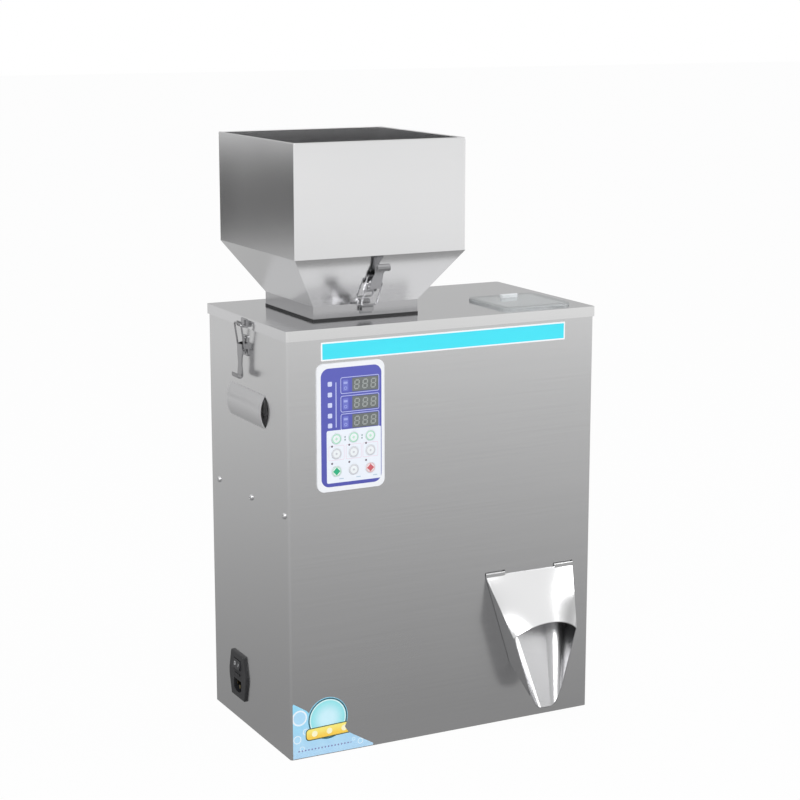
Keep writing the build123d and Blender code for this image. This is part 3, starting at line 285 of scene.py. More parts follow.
def polished(name, colour, roughness=0.12):
    # Pressed and buffed steel with fine handling scratches.
    steel = Finish(name, colour, metallic=1.0, roughness=roughness)
    scratch = steel.noise((60.0, 420.0, 240.0), detail=4.0, rough=0.7)
    cloud = steel.noise((40.0, 40.0, 40.0), detail=2.0)
    steel.set(Base_Color=steel.mix(cloud, steel.shade(0.9), steel.shade(1.04)),
              Roughness=roughness + (scratch - 0.5) * 0.14)
    steel.bump(scratch, 0.02, 0.4)
    return steel


def moulded(name, colour, roughness=0.45, texture=0.03):
    # Moulded plastic or rubber with a spark-eroded grain.
    plastic = Finish(name, colour, roughness=roughness)
    grain = plastic.noise((900.0, 900.0, 900.0), detail=2.0)
    dust = plastic.noise((35.0, 35.0, 35.0), detail=3.0)
    plastic.set(Base_Color=plastic.mix(dust, plastic.shade(0.85), plastic.shade(1.2)),
                Roughness=roughness + (dust - 0.5) * 0.15)
    plastic.bump(grain, texture, 0.6)
    return plastic


def lid_finish():
    # The lid's front skirt is painted lighter than its top, a painted highlight for the light it
    # catches.
    steel = brushed("lid_steel", (0.80, 0.80, 0.81), "x", 0.13, 0.05)
    x, y, z = steel.place()
    painted_highlight_skirt = y < LID_SKIRT_Y
    base = steel.shader.inputs["Base Color"].links[0].from_socket
    # Painted highlight: the front skirt's colour is lifted to near white.
    steel.set(Base_Color=steel.mix(painted_highlight_skirt, base, (0.95, 0.95, 0.95)))
    return steel


def window_acrylic():
    # Clear sheet with wiping scuffs.
    sheet = Finish("clear_acrylic", (0.93, 0.96, 0.965), roughness=0.04, IOR=1.49,
                   Transmission_Weight=0.6)
    scuff = sheet.noise((90.0, 500.0, 90.0), detail=4.0, rough=0.7)
    sheet.set(Roughness=0.03 + scuff * 0.09)
    sheet.bump(scuff, 0.01, 0.3)
    return sheet


def overlay_print():
    # The printed face plate: white border, blue field, framed readouts and a pale key field.
    film = Finish("overlay_print", (0.86, 0.87, 0.89), roughness=0.32, Coat_Weight=0.25,
                  Coat_Roughness=0.2)
    x, y, z = film.place(OVERLAY[0], 0.0, OVERLAY[1])
    blue = (0.082, 0.09, 0.42)
    pale_blue = (0.36, 0.4, 0.78)
    tone = film.ease(z, -70.0, 70.0)
    field = film.box(x - 0.6, z, *BLUE_FIELD)
    face = film.mix(field, film.colour, film.mix(tone, blue, (0.1, 0.11, 0.47)))
    bar = film.box(x + 18.6, z - 26.0, 1.2, 52.0, 0.5)
    face = film.mix(bar, face, (0.5, 0.54, 0.86))
    for row in BLOCK_ROWS:
        block = film.box(x + 26.2, z - row, *SIDE_BLOCK)
        face = film.mix(block, face, (0.62, 0.66, 0.9))
    for row in READOUT_ROWS:
        frame_out = film.box(x - 11.4, z - row, *READOUT_FRAME_OUT)
        frame_in = film.box(x - 11.4, z - row, *READOUT_FRAME_IN)
        face = film.mix(frame_out - frame_in, face, (0.55, 0.59, 0.86))
        face = film.mix(film.box(x + 6.6, z - row, 7.0, 13.0, 1.5), face, (0.16, 0.18, 0.58))
        face = film.mix(film.box(x + 6.6, z - row - 3.0, 5.0, 2.6, 0.8), face, pale_blue)
        face = film.mix(film.ring(x + 6.6, z - row + 3.2, 1.9, 1.2), face, pale_blue)
    keys = film.box(x - 3.6, z + 33.7, *KEY_FIELD)
    face = film.mix(keys, face, (0.83, 0.87, 0.93))
    for column in KEY_COLUMNS:
        outer = film.box(x - column, z + 29.5, *KEY_FRAME_OUT)
        inner = film.box(x - column, z + 29.5, *KEY_FRAME_IN)
        face = film.mix(outer - inner, face, (0.82, 0.62, 0.72))
        for lamp_row in LAMP_ROWS:
            dot = film.disc(x - column + 5.6, z - lamp_row, LAMP_R)
            face = film.mix(dot, face, (0.12, 0.09, 0.12))
        dash = film.box(x - column - 6.0, z + 60.0, 5.6, 1.2, 0.4)
        face = film.mix(dash, face, (0.5, 0.62, 0.72))
    for column in (-7.6, 13.8):
        for part in (0.0, 3.2):
            tick = film.box(x - column, z + 12.0 + part, 1.4, 2.0, 0.5)
            face = film.mix(tick, face, (0.15, 0.25, 0.25))
    grain = film.noise((600.0, 600.0, 600.0), detail=1.0)
    film.set(Base_Color=face, Roughness=0.3 + grain * 0.08)
    film.bump(grain, 0.02, 0.4)
    return film


def key_finish(name, ring, mark, x_at, z_at, mark_r):
    # A printed dome key: a coloured ring round a small mark.
    film = Finish(name, (0.84, 0.87, 0.88), roughness=0.3, Coat_Weight=0.3, Coat_Roughness=0.15)
    x, y, z = film.place(x_at, 0.0, z_at)
    face = film.mix(film.ring(x, z, *KEY_RING), film.colour, ring)
    diamond = (abs(x) + abs(z)) < mark_r
    face = film.mix(diamond, face, mark)
    film.set(Base_Color=face)
    dome = 1.0 - (x * x + z * z) / 36.0
    film.bump(dome, 0.25, 0.8)
    return film


def readout_finish():
    # Smoked windows with a faint vertical tone.
    glass = Finish("readout_window", (0.16, 0.175, 0.17), roughness=0.14, Coat_Weight=0.5,
                   Coat_Roughness=0.05)
    cloud = glass.noise((30.0, 30.0, 90.0), detail=2.0)
    glass.set(Base_Color=glass.mix(cloud, glass.shade(0.85), glass.shade(1.15)))
    glass.bump(cloud, 0.02, 0.3)
    return glass


def strip_print():
    # A bare turquoise strip with a white border.
    film = Finish("strip_print", (0.045, 0.75, 0.88), roughness=0.3, Coat_Weight=0.3,
                  Coat_Roughness=0.15)
    low_x, high_x, low_z, high_z = STRIP
    x, y, z = film.place((low_x + high_x) / 2, 0.0, (low_z + high_z) / 2)
    inside = film.box(x, z, high_x - low_x - 2 * STRIP_BORDER,
                      high_z - low_z - 2 * STRIP_BORDER, 0.6)
    cloud = film.noise((6.0, 6.0, 30.0), detail=2.0)
    ink = film.mix(cloud, (0.035, 0.70, 0.84), (0.06, 0.80, 0.93))
    film.set(Base_Color=film.mix(inside, (0.93, 0.94, 0.95), ink))
    film.bump(film.noise((500.0, 500.0, 500.0)) + inside * 0.5, 0.03, 0.4)
    return film


def sticker_print():
    # Bubbles and a pale disc on blue, with a plain yellow ribbon.
    film = Finish("sticker_print", (0.36, 0.73, 0.93), roughness=0.3, Coat_Weight=0.35,
                  Coat_Roughness=0.15)
    x, y, z = film.place()
    wash = film.noise((60.0, 60.0, 60.0), detail=1.0)
    face = film.mix(film.ease(z, 0.0, 60.0), (0.42, 0.66, 0.90), (0.22, 0.66, 0.92))
    face = film.mix(wash * 0.5, face, (0.62, 0.87, 0.97))
    for at_x, at_z, radius in BUBBLES:
        face = film.mix(film.disc(x - at_x, z - at_z, radius), face, (0.45, 0.74, 0.95))
        rim = film.ring(x - at_x, z - at_z, radius, radius * 0.8)
        face = film.mix(rim, face, (0.85, 0.93, 0.99))
    mid_x, mid_z, radius = STICKER_CIRCLE
    around = (x - mid_x, z - mid_z)
    face = film.mix(film.disc(*around, radius), face, (0.02, 0.13, 0.17))
    face = film.mix(film.disc(*around, radius - 1.8), face, (0.72, 0.95, 0.95))
    glow = film.ease((around[0] ** 2.0 + around[1] ** 2.0) ** 0.5, 6.0, 23.0)
    face = film.mix(film.disc(*around, radius - 3.2), face,
                    film.mix(glow, (0.62, 0.90, 0.98), (0.30, 0.78, 0.82)))
    ribbon_x = x - mid_x - 2.0
    ribbon_z = z - 28.5 - ribbon_x * 0.03
    face = film.mix(film.box(ribbon_x, ribbon_z, 61.0, 15.0, 5.0), face, (0.05, 0.09, 0.05))
    face = film.mix(film.box(ribbon_x, ribbon_z, 58.6, 12.6, 4.0), face,
                    film.mix(film.ease(ribbon_z, -6.0, 6.0), (0.98, 0.62, 0.07), (1.0, 0.86, 0.2)))
    for step in range(3):
        spot = film.disc(ribbon_x - 19.0 + 19.0 * step, ribbon_z, 3.6)
        face = film.mix(spot, face, (1.0, 0.95, 0.62))
    dots = film.disc((x % 4.2) - 2.1, z - 9.5, 1.0) * (x > -192.0) * (x < -124.0)
    face = film.mix(dots, face, (0.22, 0.2, 0.42))
    film.set(Base_Color=face)
    film.bump(wash, 0.03, 0.3)
    return film


def rocker_finish():
    # Gloss black with the two moulded marks of a mains rocker.
    plastic = moulded("rocker_plastic", (0.03, 0.03, 0.033), 0.28, 0.01)
    low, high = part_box("power_rocker")
    mid_y = (low.y + high.y) / 2 / MM
    mid_z = (low.z + high.z) / 2 / MM
    x, y, z = plastic.place(0.0, mid_y, mid_z)
    outside = x < low.x / MM + 4.0
    mark = plastic.ring(y - 5.2, z, 2.2, 1.5) | plastic.box(y + 5.2, z, 0.8, 4.4, 0.3)
    base = plastic.shader.inputs["Base Color"].links[0].from_socket
    plastic.set(Base_Color=plastic.mix(mark * outside, base, (0.75, 0.75, 0.75)))
    return plastic


def board_finish():
    # Green lacquered board with copper traces and pads under the lacquer.
    board = Finish("board_green", (0.02, 0.16, 0.075), roughness=0.3, Coat_Weight=0.4,
                   Coat_Roughness=0.1)
    x, y, z = board.place()
    cell_x = (x % 7.0) - 3.5
    cell_z = (z % 9.0) - 4.5
    traces = ((abs(cell_x) < 0.35) | (abs(cell_z) < 0.35)) * (board.noise((40.0, 40.0, 40.0)) > 0.5)
    pads = board.disc(cell_x, cell_z, 0.9)
    face = board.mix(traces, board.colour, (0.05, 0.27, 0.12))
    board.set(Base_Color=board.mix(pads, face, (0.7, 0.6, 0.35)), Roughness=0.28 + traces * 0.1)
    board.bump(traces + pads, 0.05, 0.5)
    return board


def laminated_iron():
    # Stacked iron laminations.
    iron = Finish("core_iron", (0.11, 0.11, 0.12), metallic=0.6, roughness=0.5)
    x, y, z = iron.place()
    line = abs((y % 0.9) - 0.45) < 0.1
    cloud = iron.noise((60.0, 60.0, 60.0), detail=3.0)
    sheets = iron.mix(cloud, iron.shade(0.8), iron.shade(1.4))
    iron.set(Base_Color=iron.mix(line, sheets, iron.shade(0.4)), Roughness=0.45 + cloud * 0.2)
    iron.bump(1.0 - line, 0.1, 0.6)
    return iron


def cast_iron():
    # Sand-cast and painted base block.
    iron = Finish("cast_base", (0.13, 0.14, 0.15), metallic=0.3, roughness=0.6)
    sand = iron.noise((420.0, 420.0, 420.0), detail=4.0, rough=0.65)
    lump = iron.noise((50.0, 50.0, 50.0), detail=2.0)
    iron.set(Base_Color=iron.mix(lump, iron.shade(0.75), iron.shade(1.35)),
             Roughness=0.5 + sand * 0.25)
    iron.bump(sand + lump, 0.25, 0.7)
    return iron


def enamelled_copper():
    # Varnished copper wire with streaks along its turns.
    copper = Finish("coil_copper", (0.42, 0.16, 0.06), metallic=0.9, roughness=0.28,
                    Coat_Weight=0.4)
    cloud = copper.noise((90.0, 90.0, 500.0), detail=3.0)
    copper.set(Base_Color=copper.mix(cloud, copper.shade(0.75), copper.shade(1.25)),
               Roughness=0.22 + cloud * 0.15)
    copper.bump(cloud, 0.03, 0.4)
    return copper


def sensor_finish():
    # Black sensor housing with a dark red lens in its face.
    plastic = moulded("sensor_plastic", (0.025, 0.025, 0.028), 0.4)
    x, y, z = plastic.place(SENSOR[0], 0.0, SENSOR[1])
    lens = plastic.disc(x, z, LENS_R) * (y < PANEL_Y - 4.0)
    base = plastic.shader.inputs["Base Color"].links[0].from_socket
    plastic.set(Base_Color=plastic.mix(lens, base, (0.2, 0.01, 0.015)), Roughness=0.4 - lens * 0.3)
    return plastic


# Mesh work

def settle(name, shape, finish, body):
    # Turn a worked mesh into a piece of the machine that moves with a body.
    bmesh.ops.recalc_face_normals(shape, faces=shape.faces)
    mesh = bpy.data.meshes.new(name)
    shape.to_mesh(mesh)
    shape.free()
    return finish_piece(name, mesh, finish, body, 35.0)


def finish_piece(name, mesh, finish, body, crease):
    mesh.name = name
    mesh.shade_smooth()
    mesh.set_sharp_from_angle(angle=math.radians(crease))
    if not mesh.materials:
        mesh.materials.append(finish.material)
    piece = bpy.data.objects.new(name, mesh)
    bpy.context.scene.collection.objects.link(piece)
    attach(piece, body)
    return piece


def plate(outline, y_front, y_back, edge=0.0):
    # A thin plate parallel to the front panel, from an outline of x and z in millimetres.
    shape = bmesh.new()
    rim = [shape.verts.new((x * MM, y_back * MM, z * MM)) for x, z in outline]
    base = shape.faces.new(rim)
    raised = bmesh.ops.extrude_face_region(shape, geom=[base])["geom"]
    moved = [part for part in raised if isinstance(part, bmesh.types.BMVert)]
    bmesh.ops.translate(shape, verts=moved, vec=(0, (y_front - y_back) * MM, 0))
    if edge:
        front_edges = [line for line in shape.edges
                       if all(abs(end.co.y - y_front * MM) < 1e-7 for end in line.verts)]
        bmesh.ops.bevel(shape, geom=front_edges, offset=edge * MM, segments=2, affect="EDGES")
    return shape


def rounded_outline(low_x, high_x, low_z, high_z, radius, steps):
    corners = ((high_x - radius, high_z - radius, 0), (low_x + radius, high_z - radius, 90),
               (low_x + radius, low_z + radius, 180), (high_x - radius, low_z + radius, 270))
    outline = []
    for x, z, start in corners:
        for step in range(steps + 1):
            turn = math.radians(start + 90 * step / steps)
            outline.append((x + radius * math.cos(turn), z + radius * math.sin(turn)))
    return outline


def turned(shape, profile, sides, close_top=True):
    # Spin a profile of (radius, height) in millimetres round Z.
    rings = []
    for radius, height in profile:
        ring = [shape.verts.new((radius * MM * math.cos(2 * math.pi * step / sides),
                                 radius * MM * math.sin(2 * math.pi * step / sides), height * MM))
                for step in range(sides)]
        rings.append(ring)
    for lower, upper in zip(rings, rings[1:]):
        for step in range(sides):
            after = (step + 1) % sides
            shape.faces.new((lower[step], lower[after], upper[after], upper[step]))
    shape.faces.new(list(reversed(rings[0])))
    if close_top:
        shape.faces.new(rings[-1])
    return rings[-1]


def hidden_part(name, shape):
    # A shape that only Geometry Nodes set out; it is removed before the end.
    bmesh.ops.recalc_face_normals(shape, faces=shape.faces)
    mesh = bpy.data.meshes.new(name)
    shape.to_mesh(mesh)
    shape.free()
    part = bpy.data.objects.new(name, mesh)
    bpy.context.scene.collection.objects.link(part)
    return part


# Geometry Nodes

def new_tree(name, inputs):
    tree = bpy.data.node_groups.new(name, "GeometryNodeTree")
    tree.interface.new_socket("Geometry", in_out="OUTPUT", socket_type="NodeSocketGeometry")
    for label, kind in inputs:
        tree.interface.new_socket(label, in_out="INPUT", socket_type=kind)
    start = tree.nodes.new("NodeGroupInput")
    end = tree.nodes.new("NodeGroupOutput")
    return tree, start, end


def geo(tree, kind, settings=None, inputs=None):
    node = tree.nodes.new(kind)
    for name, value in (settings or {}).items():
        setattr(node, name, value)
    for name, value in (inputs or {}).items():
        if isinstance(value, bpy.types.NodeSocket):
            tree.links.new(value, node.inputs[name])
        else:
            node.inputs[name].default_value = value
    return node


def close_tree(tree, start, end, socket):
    real = geo(tree, "GeometryNodeRealizeInstances", None, {"Geometry": socket})
    made = geo(tree, "GeometryNodeSetMaterial", None,
               {"Geometry": real.outputs[0], "Material": start.outputs["Finish"]})
    tree.links.new(made.outputs[0], end.inputs[0])
    return tree


def set_out_tree():
    # Puts one part on every spot, turned as the spot says.
    tree, start, end = new_tree("set_out", (("Spots", "NodeSocketGeometry"),
                                            ("Part", "NodeSocketObject"),
                                            ("Size", "NodeSocketFloat"),
                                            ("Finish", "NodeSocketMaterial")))
    part = geo(tree, "GeometryNodeObjectInfo", None, {"Object": start.outputs["Part"]})
    turn = geo(tree, "GeometryNodeInputNamedAttribute", {"data_type": "QUATERNION"},
               {"Name": "turn"})
    placed = geo(tree, "GeometryNodeInstanceOnPoints", None,
                 {"Points": start.outputs["Spots"], "Instance": part.outputs["Geometry"],
                  "Rotation": turn.outputs[0], "Scale": start.outputs["Size"]})
    return close_tree(tree, start, end, placed.outputs[0])


def grow(name, base_mesh, tree, values, finish, body):
    # Run a tree on a mesh and keep the result as a plain piece.
    source = bpy.data.objects.new(name + "_spots", base_mesh)
    bpy.context.scene.collection.objects.link(source)
    modifier = source.modifiers.new(tree.name, "NODES")
    modifier.node_group = tree
    given = {**values, "Finish": finish.material}
    for item in tree.interface.items_tree:
        if item.item_type == "SOCKET" and item.in_out == "INPUT" and item.name in given:
            modifier[item.identifier] = given[item.name]
    graph = bpy.context.evaluated_depsgraph_get()
    mesh = bpy.data.meshes.new_from_object(source.evaluated_get(graph), depsgraph=graph)
    source.modifiers.clear()
    bpy.data.objects.remove(source)
    return finish_piece(name, mesh, finish, body, 30.0)


def spots_mesh(name, spots):
    # Points for a tree. Each spot is a place in millimetres and the matrix that turns a part there.
    mesh = bpy.data.meshes.new(name)
    mesh.from_pydata([Vector(place) * MM for place, turn in spots], [], [])
    turns = mesh.attributes.new("turn", "QUATERNION", "POINT")
    for item, (place, turn) in zip(turns.data, spots):
        item.value = turn.to_quaternion()
    return mesh


def facing(direction, roll=0.0):
    # The turn that brings a part's +Z to a direction, after a roll about its own axis in degrees.
    return (Vector(direction).to_track_quat("Z", "Y").to_matrix()
            @ Matrix.Rotation(math.radians(roll), 3, "Z"))


SET_OUT = set_out_tree()


# Pieces

def screw_part():
    # A pan-head machine screw with a cross recess and a rough thread.
    shape = bmesh.new()
    profile = [(SCREW_HEAD_R, 0.0), (SCREW_HEAD_R, 0.35), (3.62, 1.0), (3.2, 1.6),
               (2.75, 2.05), (2.3, 2.3)]
    crown = turned(shape, profile, 24, close_top=False)
    arm = 1.55
    half = 0.42
    cross = [(arm, -half), (arm, half), (half, half), (half, arm), (-half, arm), (-half, half),
             (-arm, half), (-arm, -half), (-half, -half), (-half, -arm), (half, -arm),
             (half, -half)]
    lip = [shape.verts.new((x * MM, y * MM, 2.38 * MM)) for x, y in cross]
    floor = [shape.verts.new((x * 0.6 * MM, y * 0.6 * MM, CROSS_DEPTH * MM)) for x, y in cross]
    for step in range(12):
        after = (step + 1) % 12
        shape.faces.new((lip[step], lip[after], floor[after], floor[step]))
    shape.faces.new(floor)
    lip_edges = [shape.edges.get((lip[step], lip[(step + 1) % 12])) for step in range(12)]
    crown_edges = [shape.edges.get((crown[step], crown[(step + 1) % 24])) for step in range(24)]
    bmesh.ops.triangle_fill(shape, use_beauty=True, edges=lip_edges + crown_edges)
    thread = [(SCREW_SHANK_R, 0.0)]
    for turn in range(THREAD_TURNS):
        thread.append((SCREW_SHANK_R, -0.2 - THREAD_PITCH * turn))
        thread.append((SCREW_SHANK_R - THREAD_DEPTH, -0.55 - THREAD_PITCH * turn))
    thread.append((SCREW_SHANK_R - 0.5, -SCREW_SHANK_L))
    turned(shape, list(reversed(thread)), 12)
    return hidden_part("screw_part", shape)


def make_screws(finish):
    spots = []
    for hand in (-1, 1):
        for count, y in enumerate(SHELF_SCREW_Y):
            spots.append(((hand * SIDE_X, y, SHELF_SCREW_Z), facing((hand, 0, 0), 17 + 31 * count)))
        for count, z in enumerate(REAR_SCREW_Z):
            spots.append(((hand * REAR_SCREW_X, BACK_Y, z),
                          facing((0, 1, 0), 9 + 37 * count + 20 * hand)))
    for count, z in enumerate(SMALL_SCREW_Z):
        spots.append(((SIDE_X, SMALL_SCREW_Y, z), facing((1, 0, 0), 40 + 50 * count)))
    part = screw_part()
    screws = grow("panel_screws", spots_mesh("screw_spots", spots), SET_OUT,
                  {"Part": part, "Size": 1.0}, finish, "case")
    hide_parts("case_screws")
    bpy.data.objects.remove(part)


def digit_part():
    # Seven segments of an unlit figure, lying in X and Y.
    shape = bmesh.new()
    half_w, half_h, bar = 2.7, 4.9, 0.75
    slope = 0.1
    bars = [((-half_w, half_h), (half_w, half_h)), ((-half_w, 0), (half_w, 0)),
            ((-half_w, -half_h), (half_w, -half_h)),
            ((-half_w, 0), (-half_w, half_h)), ((half_w, 0), (half_w, half_h)),
            ((-half_w, -half_h), (-half_w, 0)), ((half_w, -half_h), (half_w, 0))]
    for (ax, ay), (bx, by) in bars:
        along = Vector((bx - ax, by - ay)).normalized()
        across = Vector((-along.y, along.x)) * bar
        start = Vector((ax, ay)) + along * 0.25
        end = Vector((bx, by)) - along * 0.25
        ring = [start, start + along * bar - across, end - along * bar - across, end,
                end - along * bar + across, start + along * bar + across]
        low = [shape.verts.new(((p.x + p.y * slope) * MM, p.y * MM, 0)) for p in ring]
        high = [shape.verts.new(((p.x + p.y * slope) * MM, p.y * MM, 0.12 * MM)) for p in ring]
        shape.faces.new(low)
        shape.faces.new(high)
        for step in range(6):
            after = (step + 1) % 6
            shape.faces.new((low[step], low[after], high[after], high[step]))
    return hidden_part("digit_part", shape)


def make_digits():
    # Three unlit figures on each window.
    unlit = moulded("digit_segments", (0.34, 0.36, 0.35), 0.3, 0.01)
    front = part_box("number_windows")[0].y / MM
    spots = []
    for row in READOUT_ROWS:
        for column in (-DIGIT_STEP, 0.0, DIGIT_STEP):
            spots.append(((OVERLAY[0] + READOUT_X + column, front, OVERLAY[1] + row),
                          facing_front()))
    part = digit_part()
    grow("readout_digits", spots_mesh("digit_spots", spots), SET_OUT, {"Part": part, "Size": 1.0},
         unlit, "case")
    bpy.data.objects.remove(part)


def facing_front():
    # Part +X to machine +X, part +Y up, part +Z to the user.
    return Matrix(((1, 0, 0), (0, 0, -1), (0, 1, 0)))


def make_title_strip():
    outline = rounded_outline(*STRIP, 1.0, 3)
    film = plate(outline, PANEL_Y - FILM_T, PANEL_Y + FILM_SUNK, 0.1)
    settle("title_strip", film, strip_print(), "case")


def make_corner_sticker():
    # A corner triangle whose sloping edge is broken by a disc.
    mid_x, mid_z, radius = STICKER_CIRCLE
    low_x = -198.4
    outline = [(low_x, 1.0), (-96.0, 1.0), (-95.0, 3.0), (-127.5, 22.5)]
    for step in range(25):
        turn = math.radians(-32 + (190 * step / 24))
        outline.append((mid_x + (radius + 0.6) * math.cos(turn),
                        mid_z + (radius + 0.6) * math.sin(turn)))
    outline += [(-181.0, 57.5), (low_x + 1.0, 68.0), (low_x, 66.5)]
    film = plate(outline, PANEL_Y - FILM_T, PANEL_Y + FILM_SUNK)
    settle("corner_sticker", film, sticker_print(), "case")


def chip_part():
    # A black block with four legs on each long side.
    shape = bmesh.new()
    bmesh.ops.create_cube(shape, size=1.0)
    bmesh.ops.scale(shape, vec=(9 * MM, 6 * MM, 1.6 * MM), verts=shape.verts)
    bmesh.ops.translate(shape, vec=(0, 0, 1.1 * MM), verts=shape.verts)
    top = [line for line in shape.edges if all(end.co.z > 1.5 * MM for end in line.verts)]
    bmesh.ops.bevel(shape, geom=top, offset=0.3 * MM, segments=1, affect="EDGES")
    for side in (-1, 1):
        for step in range(4):
            leg = bmesh.ops.create_cube(shape, size=1.0)["verts"]
            bmesh.ops.scale(shape, vec=(0.6 * MM, 1.6 * MM, 0.5 * MM), verts=leg)
            at = ((step - 1.5) * 2.2 * MM, side * 3.4 * MM, 0.25 * MM)
            bmesh.ops.translate(shape, vec=at, verts=leg)
    return hidden_part("chip_part", shape)


def can_part():
    # A small can with a groove near its foot and a rounded top edge.
    shape = bmesh.new()
    profile = [(2.6, 0.0), (2.6, 0.6), (2.4, 0.9), (2.6, 1.2), (2.6, 6.4), (2.3, 6.8), (1.6, 6.8)]
    turned(shape, profile, 16)
    return hidden_part("can_part", shape)


def make_board_parts():
    # Chips and cans on the control board's free face.
    low, high = (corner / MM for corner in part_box("control_board"))
    chips, cans = [], []
    for column in range(3):
        for row in range(3):
            x = low.x + (high.x - low.x) * (0.22 + 0.28 * column)
            z = low.z + (high.z - low.z) * (0.2 + 0.3 * row)
            target = chips if (column + row) % 2 == 0 else cans
            target.append(((x, low.y, z), facing_front()))
    plastic = moulded("chip_plastic", (0.02, 0.02, 0.022), 0.5, 0.01)
    alloy = polished("can_alloy", (0.6, 0.61, 0.63), 0.25)
    for name, part, spots, finish in (("board_chips", chip_part(), chips, plastic),
                                      ("board_cans", can_part(), cans, alloy)):
        grow(name, spots_mesh(name + "_spots", spots), SET_OUT, {"Part": part, "Size": 1.0},
             finish, "case")
        bpy.data.objects.remove(part)


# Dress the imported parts

def dress(finish, *nodes):
    for node in nodes:
        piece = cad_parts[node]
        for slot in piece.material_slots:
            slot.material = finish.material


def dress_all():
    panel = brushed("case_steel", (0.80, 0.80, 0.805), "x", 0.2, 0.06)
    rear = brushed("rear_steel", (0.72, 0.72, 0.73), "x", 0.26)
    inner = brushed("inner_steel", (0.68, 0.68, 0.69), "x", 0.3)
    trough = brushed("trough_steel", (0.76, 0.76, 0.77), "y", 0.22)
    hopper = brushed("hopper_steel", (0.86, 0.86, 0.865), "x", 0.16, 0.05)
    collar = brushed("collar_steel", (0.58, 0.58, 0.59), "x", 0.2)
    handle = brushed("handle_steel", (0.82, 0.82, 0.83), "y", 0.34)
    latch = polished("latch_steel", (0.44, 0.44, 0.45), 0.14)
    spring = brushed("spring_steel", (0.42, 0.43, 0.45), "z", 0.3)
    rubber = moulded("black_rubber", (0.022, 0.022, 0.023), 0.7, 0.06)
    plastic = moulded("black_plastic", (0.022, 0.022, 0.024), 0.42)
    grip = moulded("grip_plastic", (0.78, 0.80, 0.81), 0.2, 0.005)
    copper = enamelled_copper()
    brass = polished("contact_brass", (0.75, 0.6, 0.3), 0.2)
    socket = polished("socket_metal", (0.6, 0.6, 0.62), 0.18)
    alloy = brushed("cell_aluminium", (0.74, 0.75, 0.76), "x", 0.3)
    motor = brushed("motor_metal", (0.5, 0.51, 0.53), "z", 0.34)
    iron = laminated_iron()
    # Painted shade: the spout's gutter is the hood's steel made darker (0.62 against 0.86), for the
    # shade inside the spout.
    painted_shade_gutter = brushed("gutter_steel_painted_shade", (0.62, 0.62, 0.63), "z", 0.24)
    hood = brushed("hood_steel", (0.86, 0.86, 0.865), "z", 0.2)

    dress(panel, "case_shell")
    dress(rear, "back_panel")
    dress(inner, "base_plate", "shelf", "discharge_chute", "cell_post")
    dress(lid_finish(), "lid")
    dress(rubber, "collar_seal", "cable_grommet", "feeder_feet")
    dress(hopper, "hopper")
    dress(collar, "hopper_collar")
    dress(handle, "handle_plates", "handle_cups")
    dress(latch, "latch_keepers", "side_latch_bases", "left_latch_lever", "right_latch_lever",
          "left_latch_bail", "right_latch_bail", "hopper_latch_base", "hopper_latch_lever",
          "hopper_latch_bail")
    dress(window_acrylic(), "window_cover")
    dress(grip, "window_grip")
    dress(plastic, "inlet_body", "fuse_drawer")
    dress(sensor_finish(), "bag_sensor")
    dress(rocker_finish(), "power_rocker")
    dress(brass, "inlet_contacts")
    dress(socket, "pedal_socket")
    dress(overlay_print(), "control_overlay")
    dress(readout_finish(), "number_windows")
    dress(board_finish(), "control_board", "display_board")
    dress(painted_shade_gutter, "spout")
    dress(hood, "spout_hood")
    dress(cast_iron(), "feeder_base")
    dress(spring, "leaf_springs")
    dress(trough, "feed_trough", "weigh_bucket", "bucket_flap")
    dress(iron, "transformer", "magnet_core", "armature")
    dress(copper, "magnet_coil")
    dress(alloy, "weigh_cell", "flap_crank")
    dress(motor, "flap_motor")
    dress(polished("screw_steel", (0.7, 0.7, 0.72), 0.2), "case_screws")

    green = (0.36, 0.74, 0.52)
    grey = (0.62, 0.62, 0.66)
    looks = [(green, (0.5, 0.8, 0.62), 2.0)] * 3 + [(grey, (0.6, 0.6, 0.64), 1.6)] * 3
    looks += [((0.5, 0.75, 0.6), (0.02, 0.45, 0.22), 4.6), (grey, (0.6, 0.6, 0.64), 1.6),
              ((0.8, 0.5, 0.52), (0.62, 0.12, 0.14), 4.6)]
    for number, (ring, mark, mark_r) in enumerate(looks):
        x_at = OVERLAY[0] + KEY_COLUMNS[number % 3]
        z_at = OVERLAY[1] + KEY_ROWS[number // 3]
        name = f"key_{number + 1}"
        dress(key_finish(name + "_film", ring, mark, x_at, z_at, mark_r), name)


# Studio

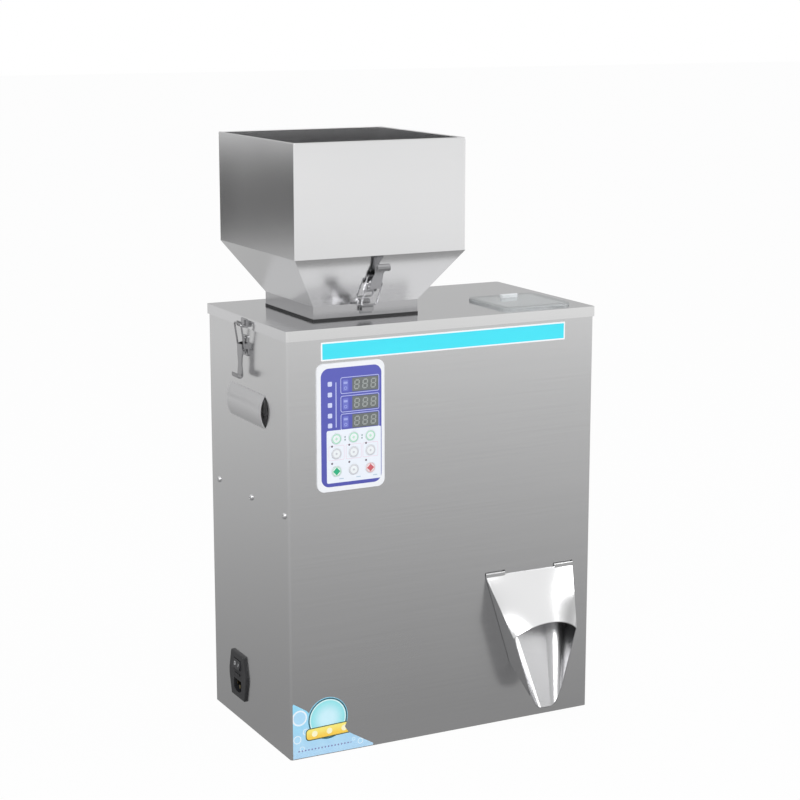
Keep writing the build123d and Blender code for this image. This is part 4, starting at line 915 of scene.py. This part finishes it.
def make_floor():
    # A plain white floor. For glossy rays it glows with painted shade instead: darker close to the
    # machine, with a painted dark band to the left and back.
    bpy.ops.mesh.primitive_grid_add(x_subdivisions=2, y_subdivisions=2, size=40.0,
                                    location=(0, 0, 0))
    floor = bpy.context.object
    floor.name = "studio_floor"
    paint = Finish("studio_floor", (0.82, 0.82, 0.82), roughness=0.9)
    paint.set(Specular_IOR_Level=0.0)
    x, y, z = paint.place()
    reach = (x * x + y * y) ** 0.5 / 1000.0
    # Painted shade in the floor's glow as metal sees it, from dark near the machine to pale far
    # off.
    seen = paint.ramp(reach / 10.0, (0.02, (0.29,) * 3), (0.11, (0.44,) * 3),
                      (0.31, (0.68,) * 3), (0.5, (0.92,) * 3))
    # A painted dark band in that glow, to the left and back of the machine.
    painted_band_side = paint.ease((x * -0.41 + y * 0.91) / (reach * 1000.0 + 1.0), 0.8, 0.97)
    painted_dark_band = paint.ease(reach, 3.2, 5.5) * (1.0 - paint.ease(reach, 8.0, 13.0))
    seen = paint.mix(painted_band_side * painted_dark_band, seen, (0.1, 0.1, 0.1))
    path = paint.node("ShaderNodeLightPath")
    camera = Amount(paint, path.outputs["Is Camera Ray"])
    glossy = Amount(paint, path.outputs["Is Glossy Ray"])
    # The painted shade glows for glossy rays; camera rays see plain white.
    light = paint.node("ShaderNodeEmission", None,
                       {"Color": paint.mix(glossy, (1.0, 1.0, 1.0), seen)})
    joined = paint.node("ShaderNodeMixShader", None,
                        {0: camera * 0.96 | glossy, 1: paint.shader.outputs[0],
                         2: light.outputs[0]})
    surface = paint.tree.nodes["Material Output"].inputs["Surface"]
    paint.tree.links.new(joined.outputs[0], surface)
    floor.data.materials.append(paint.material)


def make_sky():
    # White to the eye; metal sees a wide soft box overhead and a greyer band near the horizon.
    world = bpy.data.worlds.new("studio_sky")
    bpy.context.scene.world = world
    world.use_nodes = True
    sky = Nodes(world.node_tree)
    shader = world.node_tree.nodes["Background"]
    up = sky.split(sky.node("ShaderNodeTexCoord").outputs["Generated"])[2]
    seen = sky.ramp(up, (0.0, (0.6,) * 3), (0.25, (0.48,) * 3), (0.6, (0.86,) * 3),
                    (0.95, (0.95,) * 3))
    path = sky.node("ShaderNodeLightPath")
    camera = Amount(sky, path.outputs["Is Camera Ray"])
    glossy = Amount(sky, path.outputs["Is Glossy Ray"])
    clear = Amount(sky, path.outputs["Is Transmission Ray"])
    glow = sky.mix(glossy, (0.62, 0.63, 0.65), seen)
    sky.feed(shader.inputs["Color"], sky.mix(camera | clear, glow, (1.0, 1.0, 1.0)))
    shader.inputs["Strength"].default_value = 1.0


def lamp(name, place, aim, size, power):
    data = bpy.data.lights.new(name, "AREA")
    data.size = size
    data.energy = power
    light = bpy.data.objects.new(name, data)
    light.location = place
    light.rotation_euler = (Vector(aim) - Vector(place)).to_track_quat("-Z", "Y").to_euler()
    bpy.context.scene.collection.objects.link(light)


def make_camera():
    # The photograph's left view: from the front left and a little above.
    data = bpy.data.cameras.new("photo_camera")
    data.sensor_width = 36.0
    data.lens = CAMERA_LENS
    camera = bpy.data.objects.new("photo_camera", data)
    camera.location = CAMERA_PLACE
    aim = Vector(CAMERA_AIM)
    camera.rotation_euler = (aim - camera.location).to_track_quat("-Z", "Y").to_euler()
    bpy.context.scene.collection.objects.link(camera)
    bpy.context.scene.camera = camera


dress_all()
make_screws(polished("screw_head_steel", (0.74, 0.74, 0.75), 0.2))
make_digits()
make_title_strip()
make_corner_sticker()
make_board_parts()

make_floor()
make_sky()
lamp("key_lamp", (-2.2, -2.6, 2.6), LAMP_AIM, 1.8, 60.0)
lamp("fill_lamp", (2.4, -1.8, 1.6), LAMP_AIM, 1.6, 25.0)
make_camera()
bpy.context.scene.view_settings.view_transform = "Standard"
